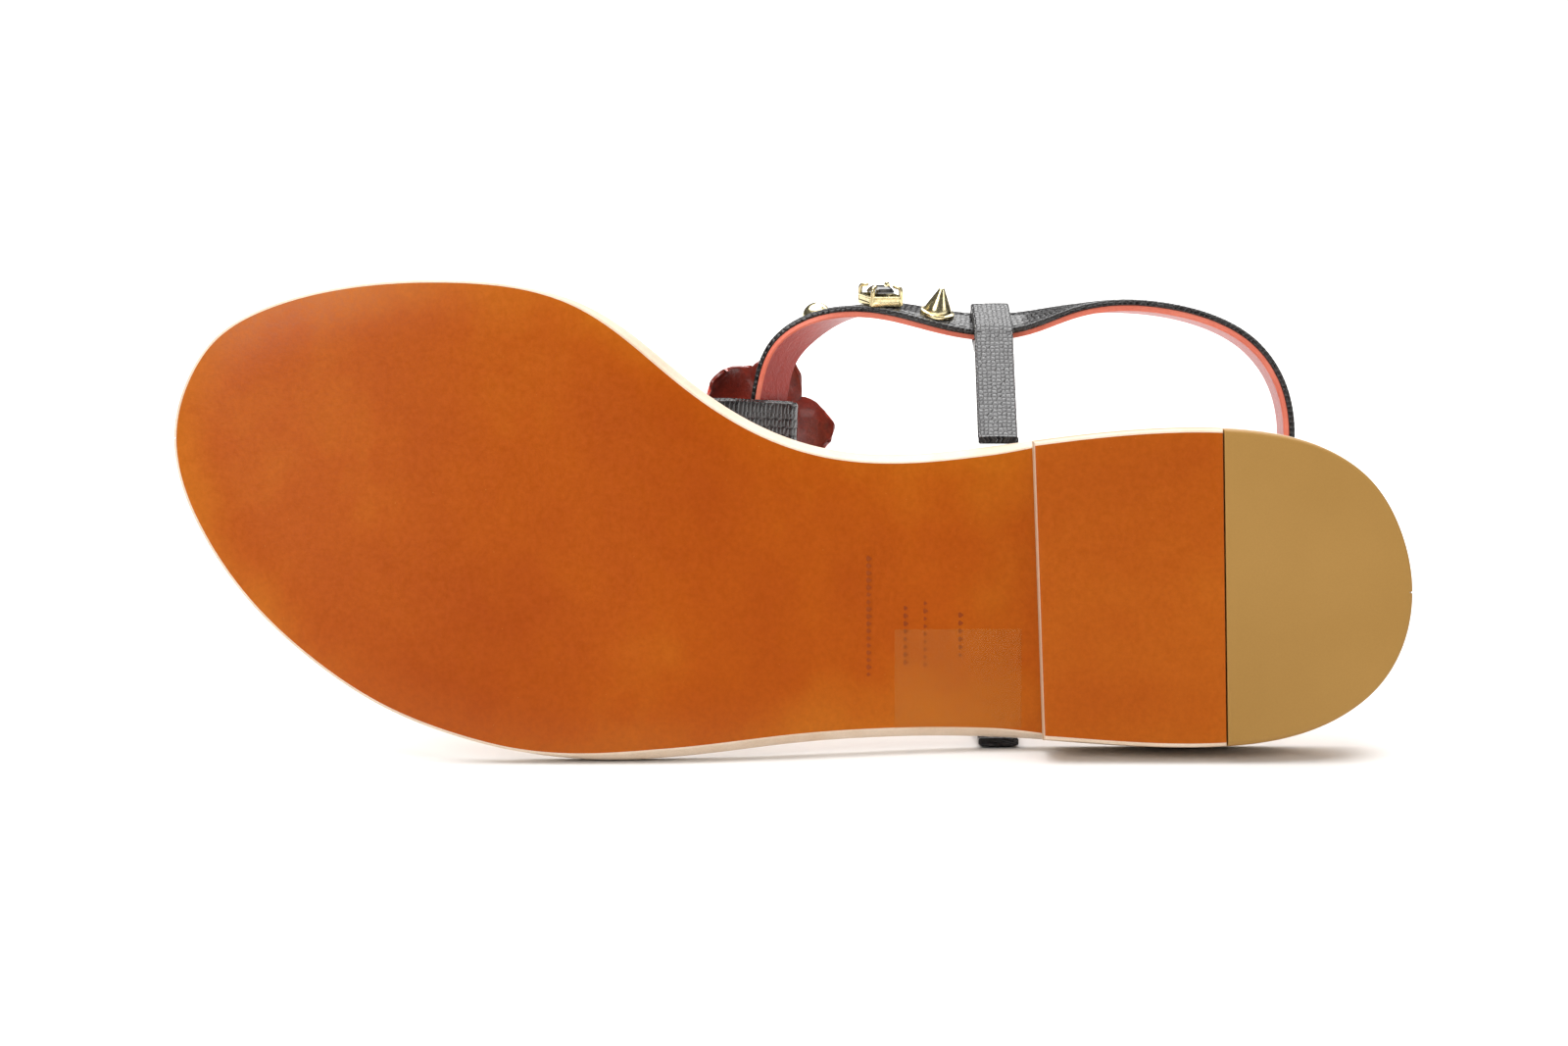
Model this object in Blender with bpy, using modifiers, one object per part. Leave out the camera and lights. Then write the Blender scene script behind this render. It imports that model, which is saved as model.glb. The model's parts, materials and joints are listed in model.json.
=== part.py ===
"""Right toe post sandal, lying on its lateral side.

Each piece is modelled as on a standing sandal: x runs from the toe tip to the heel, y towards the
lateral side and z up from the ground. The last step turns the whole sandal onto its side, where
the sole's edge and the straps touch the floor.
"""

import math

import bmesh
import bpy
import numpy as np
from mathutils import Matrix, Vector

# Sole
SOLE_LENGTH = 0.262
SOLE_WIDTH = 0.101
OUTSOLE_THICKNESS = 0.0034
INSOLE_THICKNESS = 0.0026
TOE_SPRING = 0.007
TOE_SPRING_LENGTH = 0.072
TREAD_LENGTH = 0.026
EDGE_BEVEL = 0.0006
WAIST_BEVEL = 0.0014
SOLE_STATIONS = 44

# Heel
HEEL_HEIGHT = 0.010
HEEL_LENGTH = 0.0791
HEEL_SKEW = 0.0022
HEEL_TAPER = 0.0006
RUBBER_LENGTH = 0.0399
RUBBER_SKEW = 0.0008
TOP_PIECE_THICKNESS = 0.0035
HEEL_STATIONS = 22

# Ankle strap, whose loop runs from the instep round the heel
STRAP_WIDTH = 0.010
STRAP_THICKNESS = 0.0026
LOOP_LENGTH = 0.1162
LOOP_WIDTH = 0.0807
LOOP_HEIGHT = 0.070
LOOP_SETBACK = 0.0204
LOOP_OFFSET = 0.02115
STRAP_STEP = 0.0034

# Instep strap and its toe post
INSTEP_WIDTH = 0.011
INSTEP_THICKNESS = 0.0022
POST_WIDTH = 0.0060
POST_THICKNESS = 0.0042
POST_FROM_TOE = 0.051
POST_MEDIAL = 0.027
POST_RISE = 0.0055
POST_PULL = 0.018
INSTEP_PULL = 0.030
FOLD_TAIL = 0.006

# Side tabs
TAB_WIDTH = 0.0085
TAB_THICKNESS = 0.0015
TAB_FROM_HEEL = 0.0871
TAB_FOOT = 0.006
TAB_NOTCH = 0.0015
TAB_TAIL = 0.006

# Buckle and keeper on the lateral side
BUCKLE_FROM_HEEL = 0.052
BUCKLE_LENGTH = 0.0095
BUCKLE_WIRE = 0.0010
PRONG_WIRE = 0.0007
STRAP_TIP = 0.022
TIP_RAMP = 0.012
KEEPER_WIDTH = 0.004
KEEPER_THICKNESS = 0.0012
KEEPER_FROM_BUCKLE = 0.011

# Ornaments on the ankle strap
DOME_RADIUS = 0.0034
DOME_HEIGHT = 0.0030
SPIKE_RADIUS = 0.0038
SPIKE_TIP = 0.0008
SPIKE_HEIGHT = 0.0064
STUD_RIM = 0.0003
STONE_SIDE = 0.0060
STONE_HEIGHT = 0.0030
STONE_TURN = 30
CLAW_HEIGHT = 0.0046
CLAW_WIRE = 0.0009
CLAW_PLATE = 0.0008

# Rose on the crossing of the straps
ROSE_RADIUS = 0.0150
ROSE_HEIGHT = 0.0100
ROSE_CORE = 0.0016
ROSE_PITCH = 0.0021
ROSE_TURNS = 2.45
ROSE_LEATHER = 0.0009
ROSE_PETALS_A_TURN = 4.5
ROSE_BASE_RADIUS = 0.0064
ROSE_BASE_THICKNESS = 0.0012
ROSE_SHIFT = 0.0065
ROSE_TILT = 20

# Clearances
SEAT_GAP = 0.0003
WRAP_GAP = 0.0007
STRAP_CHAMFER = 0.0004

UP = Vector((0, 0, 1))

# The sole's outline seen from below, from the toe tip along the medial side, round the heel and
# back along the lateral side. Shares of the sole's length and width.
OUTLINE_COLUMNS = ("along", "across")
OUTLINE = (
    (0.000, -0.325),
    (0.010, -0.430),
    (0.034, -0.522),
    (0.080, -0.589),
    (0.142, -0.628),
    (0.212, -0.640),
    (0.273, -0.630),
    (0.325, -0.597),
    (0.372, -0.525),
    (0.414, -0.436),
    (0.452, -0.367),
    (0.494, -0.314),
    (0.540, -0.284),
    (0.592, -0.278),
    (0.660, -0.295),
    (0.745, -0.323),
    (0.826, -0.335),
    (0.884, -0.325),
    (0.931, -0.291),
    (0.968, -0.222),
    (0.991, -0.118),
    (1.000, 0.000),
    (0.994, 0.112),
    (0.976, 0.200),
    (0.944, 0.271),
    (0.899, 0.318),
    (0.849, 0.336),
    (0.790, 0.337),
    (0.707, 0.323),
    (0.635, 0.314),
    (0.565, 0.316),
    (0.500, 0.327),
    (0.440, 0.345),
    (0.384, 0.358),
    (0.334, 0.359),
    (0.287, 0.346),
    (0.228, 0.309),
    (0.170, 0.249),
    (0.112, 0.151),
    (0.060, 0.025),
    (0.022, -0.118),
    (0.004, -0.232),
)

# The ankle strap's centre line, from the crossing with the instep strap along the medial side,
# round the heel and back along the lateral side. Along, across and height are shares of the
# loop's length, width and height, and lean turns the strap's upper edge outwards, in degrees.
LOOP_COLUMNS = ("along", "across", "height", "lean")
LOOP = (
    (0.000, -0.173, 0.800, -42),
    (0.008, -0.274, 0.800, -41),
    (0.030, -0.371, 0.800, -36),
    (0.083, -0.441, 0.795, -22),
    (0.149, -0.480, 0.790, -3),
    (0.206, -0.488, 0.780, 9),
    (0.300, -0.466, 0.765, 19),
    (0.418, -0.441, 0.757, 25),
    (0.497, -0.454, 0.765, 20),
    (0.572, -0.483, 0.785, 8),
    (0.658, -0.500, 0.820, 0),
    (0.757, -0.492, 0.860, -2),
    (0.850, -0.459, 0.905, -3),
    (0.925, -0.399, 0.945, -4),
    (0.975, -0.310, 0.975, -4),
    (1.000, -0.181, 0.998, -4),
    (0.991, -0.037, 1.000, -4),
    (0.950, 0.117, 0.985, -5),
    (0.875, 0.284, 0.950, -6),
    (0.782, 0.413, 0.900, -6),
    (0.663, 0.482, 0.840, -6),
    (0.535, 0.500, 0.790, -6),
    (0.415, 0.479, 0.757, -6),
    (0.295, 0.424, 0.765, -8),
    (0.184, 0.338, 0.780, -14),
    (0.091, 0.210, 0.795, -26),
    (0.030, 0.055, 0.800, -37),
    (0.005, -0.068, 0.800, -41),
)

# Where each ornament sits on the ankle strap, as a share of the run from the crossing to the tab.
ORNAMENT_PLACES = {"dome": 0.413, "stone": 0.621, "spike": 0.813}

COLOURS = {
    "tan_leather": ((0.42, 0.14, 0.012), 0.35, 0.0),
    "natural_leather": ((0.72, 0.52, 0.36), 0.50, 0.0),
    "insole_leather": ((0.60, 0.40, 0.27), 0.45, 0.0),
    "tan_rubber": ((0.38, 0.22, 0.065), 0.50, 0.0),
    "black_leather": ((0.012, 0.010, 0.012), 0.30, 0.0),
    "red_patent": ((0.62, 0.035, 0.012), 0.12, 0.0),
    "brass": ((0.80, 0.62, 0.28), 0.22, 1.0),
    "smoky_glass": ((0.10, 0.10, 0.11), 0.05, 0.0),
}


class Spline:
    """A smooth cubic curve through rows of numbers, by distance along the chords between them."""

    def __init__(self, rows, closed):
        points = np.array(rows, float)
        if closed:
            points = np.vstack([points, points[:1]])
        self.points = points
        spans = np.linalg.norm(np.diff(points[:, :3], axis=0), axis=1)
        self.knots = np.concatenate([[0.0], np.cumsum(spans)])
        self.length = self.knots[-1]
        self.closed = closed
        self.slopes = self._slopes(spans)

    def _slopes(self, spans):
        count = len(self.points)
        chords = np.diff(self.points, axis=0) / spans[:, None]
        matrix = np.zeros((count, count))
        known = np.zeros_like(self.points)
        for i in range(1, count - 1):
            before, after = 1 / spans[i - 1], 1 / spans[i]
            matrix[i, i - 1 : i + 2] = before, 2 * (before + after), after
            known[i] = 3 * (chords[i - 1] * before + chords[i] * after)
        if self.closed:
            before, after = 1 / spans[-1], 1 / spans[0]
            matrix[0, [count - 2, 0, 1]] = before, 2 * (before + after), after
            known[0] = 3 * (chords[-1] * before + chords[0] * after)
            matrix[-1, 0], matrix[-1, -1] = 1, -1
        else:
            matrix[0, :2] = 2, 1
            known[0] = 3 * chords[0]
            matrix[-1, -2:] = 1, 2
            known[-1] = 3 * chords[-1]
        return np.linalg.solve(matrix, known)

    def at(self, distance):
        """The rows at these distances, which wrap round on a closed curve."""
        distance = np.atleast_1d(np.asarray(distance, float))
        if self.closed:
            distance = np.mod(distance, self.length)
        i = np.clip(np.searchsorted(self.knots, distance, side="right") - 1, 0, len(self.knots) - 2)
        span = self.knots[i + 1] - self.knots[i]
        t = ((distance - self.knots[i]) / span)[:, None]
        span = span[:, None]
        return (
            (2 * t**3 - 3 * t**2 + 1) * self.points[i]
            + (t**3 - 2 * t**2 + t) * span * self.slopes[i]
            + (3 * t**2 - 2 * t**3) * self.points[i + 1]
            + (t**3 - t**2) * span * self.slopes[i + 1]
        )


def smooth_step(value, low, high):
    """0 below low, 1 above high, with a smooth rise between them."""
    t = min(1.0, max(0.0, (value - low) / (high - low)))
    return t * t * (3 - 2 * t)


def remove_everything():
    for obj in list(bpy.data.objects):
        bpy.data.objects.remove(obj)


def new_collection(name):
    collection = bpy.data.collections.new(name)
    bpy.context.scene.collection.children.link(collection)
    return collection


def material(name):
    found = bpy.data.materials.get(name)
    if found:
        return found
    colour, roughness, metallic = COLOURS[name]
    made = bpy.data.materials.new(name)
    made.use_nodes = True
    shader = made.node_tree.nodes["Principled BSDF"]
    shader.inputs["Base Color"].default_value = (*colour, 1)
    shader.inputs["Roughness"].default_value = roughness
    shader.inputs["Metallic"].default_value = metallic
    made.diffuse_color = (*colour, 1)
    return made


def finish_mesh(bm, name, collection, finish):
    """Turns a bmesh into an object of that collection, with outward faces and its material."""
    bmesh.ops.recalc_face_normals(bm, faces=bm.faces)
    mesh = bpy.data.meshes.new(name)
    bm.to_mesh(mesh)
    bm.free()
    obj = bpy.data.objects.new(name, mesh)
    collection.objects.link(obj)
    if finish:
        mesh.materials.append(material(finish))
    mesh.shade_smooth()
    mesh.set_sharp_from_angle(angle=math.radians(35))
    return obj


def loft(rings, name, collection, finish, cyclic=False):
    """One closed solid through rings with the same number of points, capped unless it is cyclic."""
    bm = bmesh.new()
    made = [[bm.verts.new(point) for point in ring] for ring in rings]
    pairs = list(zip(made, made[1:]))
    if cyclic:
        pairs.append((made[-1], made[0]))
    for one, other in pairs:
        for i in range(len(one)):
            j = (i + 1) % len(one)
            bm.faces.new((one[i], one[j], other[j], other[i]))
    if not cyclic:
        bm.faces.new(made[0])
        bm.faces.new(made[-1])
    return finish_mesh(bm, name, collection, finish)


# Sole and heel


class SoleOutline:
    """The sole's outline as a medial and a lateral side, each from the toe tip to the heel."""

    SAMPLES = 1440

    def __init__(self):
        rows = [(along * SOLE_LENGTH, across * SOLE_WIDTH) for along, across in OUTLINE]
        curve = Spline(rows, closed=True)
        points = curve.at(np.linspace(0, curve.length, self.SAMPLES, endpoint=False))
        points = np.roll(points, -int(points[:, 0].argmin()), axis=0)
        ahead, behind = np.roll(points, -1, axis=0), np.roll(points, 1, axis=0)
        tangent = ahead - behind
        tangent /= np.linalg.norm(tangent, axis=1)[:, None]
        normals = np.column_stack([tangent[:, 1], -tangent[:, 0]])
        back = int(points[:, 0].argmax())
        order = {"medial": np.arange(back + 1), "lateral": np.arange(self.SAMPLES, back - 1, -1)}
        self.sides = {}
        for side, index in order.items():
            index = index % self.SAMPLES
            self.sides[side] = (points[index], normals[index])
        self.toe = points[0, 0]
        self.heel = points[back, 0]

    def edge(self, side, x, offset=0.0):
        """The point of one side at x, moved outwards by the offset."""
        points, normals = self.sides[side]
        place = np.interp(x, points[:, 0], np.arange(len(points)))
        i = min(int(place), len(points) - 2)
        t = place - i
        point = points[i] * (1 - t) + points[i + 1] * t
        normal = normals[i] * (1 - t) + normals[i + 1] * t
        return point + normal / np.linalg.norm(normal) * offset


def breast():
    """How far the heel's front face lies from the toe."""
    return SOLE_LENGTH - HEEL_LENGTH


def bottom_height(x):
    """Height of the outsole's underside: toe spring, tread, and the rise to the heel."""
    if x < TOE_SPRING_LENGTH:
        return TOE_SPRING * (1 - x / TOE_SPRING_LENGTH) ** 2
    return HEEL_HEIGHT * smooth_step(x, TOE_SPRING_LENGTH + TREAD_LENGTH, breast())


def lower_edge(x):
    """Offset of the sole's lower edge from its outline: the edge is bevelled in the waist."""
    share = x / SOLE_LENGTH
    return -WAIST_BEVEL * smooth_step(share, 0.26, 0.40) * (1 - smooth_step(share, 0.66, 0.76))


def plate(outline, levels, stations, name, collection, finish):
    """A solid between flat or curved levels, each an offset and a height that follow x.

    A station is a pair of distances from the toe, on the medial and on the lateral side.
    """
    bm = bmesh.new()
    rings = []
    for offset, height in levels:
        ring = []
        for side, order in (("medial", stations), ("lateral", list(reversed(stations)))):
            for station in order:
                x = station[0] if side == "medial" else station[1]
                px, py = outline.edge(side, x, offset(x))
                ring.append(bm.verts.new((px, py, height(x))))
        rings.append(ring)
    count = len(rings[0])
    for one, other in zip(rings, rings[1:]):
        for i in range(count):
            j = (i + 1) % count
            bm.faces.new((one[i], one[j], other[j], other[i]))
    for ring in (rings[0], rings[-1]):
        for i in range(len(stations) - 1):
            bm.faces.new((ring[i], ring[i + 1], ring[count - 2 - i], ring[count - 1 - i]))
    return finish_mesh(bm, name, collection, finish)


def full_stations(outline):
    """Stations from the toe tip to the heel's back, closer together at the round ends."""
    shares = [0.35] + list(range(1, SOLE_STATIONS)) + [SOLE_STATIONS - 0.35]
    span = outline.heel - outline.toe
    made = []
    for share in shares:
        x = outline.toe + span * (1 - math.cos(math.pi * share / SOLE_STATIONS)) / 2
        made.append((x, x))
    return made


def heel_stations(outline, front, front_skew, back=None, back_skew=0.0):
    """Stations of a heel piece, from a slanting front line to another line or the round back."""
    made = []
    for i in range(HEEL_STATIONS + 1):
        share = i / HEEL_STATIONS
        if back is None:
            share = math.sin(math.pi / 2 * min(share, 1 - 0.35 / HEEL_STATIONS))
        pair = []
        for sign in (-1, 1):
            low = front + sign * front_skew / 2
            high = outline.heel if back is None else back + sign * back_skew / 2
            pair.append(low + (high - low) * share)
        made.append(tuple(pair))
    return made


def outsole_top(x):
    return bottom_height(x) + OUTSOLE_THICKNESS


def insole_bottom(x):
    return outsole_top(x) + SEAT_GAP


def insole_top(x):
    return insole_bottom(x) + INSOLE_THICKNESS


def make_outsole(outline, collection):
    levels = (
        (lambda x: lower_edge(x) - EDGE_BEVEL, bottom_height),
        (lower_edge, lambda x: bottom_height(x) + EDGE_BEVEL),
        (lambda x: 0.0, outsole_top),
    )
    stations = full_stations(outline)
    return plate(outline, levels, stations, "outsole", collection, "tan_leather")


def make_insole(outline, collection):
    levels = (
        (lambda x: 0.0, insole_bottom),
        (lambda x: 0.0, lambda x: insole_top(x) - EDGE_BEVEL),
        (lambda x: -EDGE_BEVEL, insole_top),
    )
    stations = full_stations(outline)
    return plate(outline, levels, stations, "insole", collection, "insole_leather")


def make_heel(outline, collection):
    """The heel block and the two top pieces under it."""
    seat = HEEL_HEIGHT - SEAT_GAP
    top_piece = TOP_PIECE_THICKNESS
    rubber_line = SOLE_LENGTH - RUBBER_LENGTH

    def taper(z):
        """Offset of the heel's wall at a height: the heel narrows towards the ground."""
        return lambda x: -HEEL_TAPER * (1 - z / HEEL_HEIGHT)

    block_levels = (
        (taper(top_piece + SEAT_GAP), lambda x: top_piece + SEAT_GAP),
        (taper(seat), lambda x: seat),
    )
    block = heel_stations(outline, breast(), HEEL_SKEW)
    plate(outline, block_levels, block, "heel_block", collection, "natural_leather")

    face_levels = (
        (lambda x: taper(0)(x) - EDGE_BEVEL, lambda x: 0.0),
        (taper(EDGE_BEVEL), lambda x: EDGE_BEVEL),
        (taper(top_piece), lambda x: top_piece),
    )
    front = heel_stations(
        outline, breast(), HEEL_SKEW, rubber_line - SEAT_GAP / 2, RUBBER_SKEW
    )
    plate(outline, face_levels, front, "top_piece_leather", collection, "tan_leather")
    rear = heel_stations(outline, rubber_line + SEAT_GAP / 2, RUBBER_SKEW)
    plate(outline, face_levels, rear, "top_piece_rubber", collection, "tan_rubber")


# Straps


class Frame:
    """A place on a strap: its centre, its direction, its width's direction and its outer side."""

    def __init__(self, centre, along, wide, out):
        self.centre = centre
        self.along = along
        self.wide = wide
        self.out = out

    def point(self, along=0.0, wide=0.0, out=0.0):
        return self.centre + self.along * along + self.wide * wide + self.out * out

    def tilted(self, wide, out, degrees):
        """A frame moved over the strap, whose outer side tilts towards the strap's upper edge."""
        angle = math.radians(degrees)
        turned_wide = self.wide * math.cos(angle) - self.out * math.sin(angle)
        turned_out = self.out * math.cos(angle) + self.wide * math.sin(angle)
        return Frame(self.point(wide=wide, out=out), self.along, turned_wide, turned_out)


class AnkleLoop:
    """The closed centre line of the ankle strap, from the crossing on the instep."""

    def __init__(self):
        front = SOLE_LENGTH - LOOP_SETBACK - LOOP_LENGTH
        rows = [
            (
                front + along * LOOP_LENGTH,
                across * LOOP_WIDTH - LOOP_OFFSET,
                height * LOOP_HEIGHT,
                math.radians(lean),
            )
            for along, across, height, lean in LOOP
        ]
        self.curve = Spline(rows, closed=True)
        self.length = self.curve.length

    def frame(self, distance):
        row = self.curve.at(distance)[0]
        near = 0.0005
        before, after = self.curve.at([distance - near, distance + near])
        along = Vector(after[:3] - before[:3]).normalized()
        level = along.cross(UP).normalized()
        rise = level.cross(along)
        lean = row[3]
        wide = rise * math.cos(lean) + level * math.sin(lean)
        out = level * math.cos(lean) - rise * math.sin(lean)
        return Frame(Vector(row[:3]), along, wide, out)

    def distance_at(self, side, x):
        """The distance along the loop at which one side of it passes x."""
        places = np.linspace(0, self.length, 1200)
        points = self.curve.at(places)
        furthest = int(points[:, 0].argmax())
        part = slice(0, furthest) if side == "medial" else slice(furthest, None)
        nearest = int(np.abs(points[part, 0] - x).argmin())
        return places[part][nearest]


def section(frame, width, thickness, out=0.0):
    """The eight corners of a strap's chamfered section."""
    half, deep = width / 2, thickness / 2
    cut = min(STRAP_CHAMFER, thickness / 4)
    corners = (
        (half, deep - cut), (half - cut, deep), (cut - half, deep), (-half, deep - cut),
        (-half, cut - deep), (cut - half, -deep), (half - cut, -deep), (half, cut - deep),
    )
    return [frame.point(wide=w, out=n + out) for w, n in corners]


def rounded_path(corners, radius, closed=False, pieces=4):
    """Points along straight runs between corners, with each corner rounded by an arc."""
    corners = [Vector(c) for c in corners]
    count = len(corners)
    path = []
    for i, corner in enumerate(corners):
        if not closed and i in (0, count - 1):
            path.append(corner)
            continue
        back = corners[i - 1] - corner
        ahead = corners[(i + 1) % count] - corner
        turn = math.pi - back.angle(ahead)
        if turn < math.radians(2):
            path.append(corner)
            continue
        reach = radius * math.tan(turn / 2)
        reach = min(reach, back.length * 0.48, ahead.length * 0.48)
        start, end = corner + back.normalized() * reach, corner + ahead.normalized() * reach
        inward = (back.normalized() + ahead.normalized()).normalized()
        centre = corner + inward * (reach / math.sin(turn / 2))
        arc = (start - centre).length
        from_start, from_end = (start - centre) / arc, (end - centre) / arc
        for k in range(pieces + 1):
            path.append(centre + from_start.slerp(from_end, k / pieces) * arc)
    return path


def ribbon_frames(path, across):
    """A frame at each point of a path, whose width lies as near as it can to across."""
    frames = []
    for i, point in enumerate(path):
        before, after = path[max(i - 1, 0)], path[min(i + 1, len(path) - 1)]
        along = (after - before).normalized()
        wide = across[i] if isinstance(across, list) else across
        wide = (wide - along * wide.dot(along)).normalized()
        frames.append(Frame(point, along, wide, wide.cross(along)))
    return frames


def subdivided(path, step):
    """The path with extra points on its long straight runs."""
    made = [path[0]]
    for point in path[1:]:
        run = point - made[-1]
        pieces = max(1, round(run.length / step))
        start = made[-1]
        made += [start + run * (k / pieces) for k in range(1, pieces + 1)]
    return made


def tip_raise(loop, buckle, distance):
    """How far the strap's free end lies outside the loop's centre line, over the other layer."""
    raised = loop.length + buckle - STRAP_THICKNESS
    return (STRAP_THICKNESS + SEAT_GAP) * smooth_step(distance, raised - TIP_RAMP, raised)


def make_ankle_strap(loop, buckle, collection, cutters):
    start = buckle + BUCKLE_WIRE + SEAT_GAP
    end = loop.length + buckle + STRAP_TIP
    count = round((end - start) / STRAP_STEP)
    rings = []
    for i in range(count + 1):
        distance = start + (end - start) * i / count
        taper = smooth_step(end - distance, -STRAP_WIDTH * 0.3, STRAP_WIDTH * 0.5)
        width = STRAP_WIDTH * (0.35 + 0.65 * taper)
        out = tip_raise(loop, buckle, distance)
        rings.append(section(loop.frame(distance), width, STRAP_THICKNESS, out))
    strap = loft(rings, "ankle_strap", collection, "black_leather")
    hinge = loop.frame(loop.length + buckle)
    hole = turned(
        "prong_hole", ((PRONG_WIRE + 2 * SEAT_GAP, 3), (PRONG_WIRE + 2 * SEAT_GAP, -3)), cutters
    )
    hole.scale = (1, 1, STRAP_THICKNESS)
    place(hole, hinge, out=STRAP_THICKNESS + SEAT_GAP, along=-PRONG_WIRE * 0.9)
    cut(strap, hole)
    return strap


def make_instep_strap(outline, loop, collection):
    """Toe post and instep strap in one: up between the toes, back, and round the ankle strap."""
    crossing = loop.frame(0)
    near = STRAP_THICKNESS / 2 + WRAP_GAP + INSTEP_THICKNESS / 2
    past = STRAP_WIDTH / 2 + WRAP_GAP + INSTEP_THICKNESS / 2
    before = -(STRAP_WIDTH / 2 + WRAP_GAP)
    tail = before - FOLD_TAIL
    wrap = [
        crossing.point(wide=tail, out=-near),
        crossing.point(wide=past, out=-near),
        crossing.point(wide=past, out=near),
        crossing.point(wide=before - INSTEP_THICKNESS / 2, out=near),
        crossing.point(wide=tail, out=-near + INSTEP_THICKNESS + SEAT_GAP),
    ]
    wrap = subdivided(rounded_path(wrap, near * 0.9), INSTEP_WIDTH * 0.55)

    foot_x = POST_FROM_TOE
    foot = Vector((foot_x, -POST_MEDIAL, outsole_top(foot_x) + SEAT_GAP))
    top = Vector((foot_x, -POST_MEDIAL, insole_top(foot_x) + POST_RISE))
    pull_up = top + Vector((0.15, 0, 1)).normalized() * POST_PULL
    pull_back = wrap[0] - crossing.wide * INSTEP_PULL
    rise = [foot, (foot + top) / 2]
    pieces = 15
    for i in range(pieces):
        t = i / pieces
        rise.append(
            top * (1 - t) ** 3
            + pull_up * 3 * t * (1 - t) ** 2
            + pull_back * 3 * t**2 * (1 - t)
            + wrap[0] * t**3
        )
    path = rise + wrap
    run = np.cumsum([0] + [(b - a).length for a, b in zip(path, path[1:])])
    lateral = Vector((0, -1, 0))
    across, sizes = [], []
    for i, distance in enumerate(run):
        turn = smooth_step(distance, run[2], run[len(rise)])
        across.append(lateral.lerp(crossing.along, turn))
        grown = smooth_step(distance, POST_RISE, POST_RISE + 2 * INSTEP_WIDTH)
        width = POST_WIDTH + (INSTEP_WIDTH - POST_WIDTH) * grown
        sizes.append((width, POST_THICKNESS + (INSTEP_THICKNESS - POST_THICKNESS) * grown))
    frames = ribbon_frames(path, across)
    rings = [section(frame, *size) for frame, size in zip(frames, sizes)]
    return loft(rings, "instep_strap", collection, "black_leather")


def make_side_tab(outline, loop, side, collection):
    """A tab from under the insole's edge, up the outside of the ankle strap and back inside it."""
    x = SOLE_LENGTH - TAB_FROM_HEEL
    loop_x = x
    hold = loop.frame(loop.distance_at(side, loop_x))
    sign = -1 if side == "medial" else 1
    edge = outline.edge(side, x)[1]
    height = insole_bottom(x) + TAB_THICKNESS / 2
    near = STRAP_THICKNESS / 2 + WRAP_GAP + TAB_THICKNESS / 2
    past = STRAP_WIDTH / 2 + WRAP_GAP + TAB_THICKNESS / 2
    before = -(STRAP_WIDTH / 2 + WRAP_GAP)
    outside = edge + sign * (SEAT_GAP + TAB_THICKNESS / 2)
    corners = [
        Vector((x, edge - sign * (TAB_FOOT - SEAT_GAP), height)),
        Vector((x, outside, height)),
        hold.point(wide=before - TAB_THICKNESS * 0.7, out=near),
        hold.point(wide=past, out=near),
        hold.point(wide=past, out=-near),
        hold.point(wide=before - TAB_THICKNESS * 0.3, out=-near),
    ]
    rising = (corners[1] - corners[2]).normalized()
    inner = corners[2] + rising * TAB_THICKNESS * 1.3 - hold.out * (TAB_THICKNESS + SEAT_GAP)
    corners += [inner, inner + rising * TAB_TAIL]
    path = subdivided(rounded_path(corners, TAB_THICKNESS, pieces=3), TAB_WIDTH)
    across = []
    level = Vector((-sign, 0, 0))
    for i in range(len(path)):
        turn = smooth_step(path[i].z, height + TAB_WIDTH / 2, corners[2].z)
        across.append(level.lerp(hold.along, turn))
    rings = [section(frame, TAB_WIDTH, TAB_THICKNESS) for frame in ribbon_frames(path, across)]
    return loft(rings, f"side_tab_{side}", collection, "black_leather")


def cut_insole(outline, insole, cutters):
    """Cuts the toe post's hole and the pockets of the side tabs."""
    post_x = POST_FROM_TOE
    middle = (insole_bottom(post_x) + insole_top(post_x)) / 2
    size = (POST_THICKNESS + 2 * SEAT_GAP, POST_WIDTH + 2 * SEAT_GAP, INSOLE_THICKNESS * 4)
    boxes = [("post_hole", (post_x, -POST_MEDIAL, middle), size)]
    x = SOLE_LENGTH - TAB_FROM_HEEL
    low = insole_bottom(x) - INSOLE_THICKNESS
    high = insole_bottom(x) + TAB_THICKNESS + SEAT_GAP
    wide = TAB_WIDTH + 2 * SEAT_GAP
    for side in ("medial", "lateral"):
        edge = outline.edge(side, x)[1]
        pocket = (wide, 2 * TAB_FOOT, high - low)
        boxes.append((f"tab_pocket_{side}", (x, edge, (low + high) / 2), pocket))
        notch = (wide, 2 * TAB_NOTCH, INSOLE_THICKNESS * 4)
        boxes.append((f"tab_notch_{side}", (x, edge, high), notch))
    for name, centre, size in boxes:
        bm = bmesh.new()
        bmesh.ops.create_cube(bm, size=1, matrix=Matrix.Diagonal((*size, 1)))
        box = finish_mesh(bm, name, cutters, None)
        box.location = centre
        cut(insole, box)


def cut(obj, cutter):
    cutter.hide_render = True
    cutter.display_type = "WIRE"
    modifier = obj.modifiers.new(cutter.name, "BOOLEAN")
    modifier.operation = "DIFFERENCE"
    modifier.solver = "EXACT"
    modifier.object = cutter


# Hardware


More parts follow.
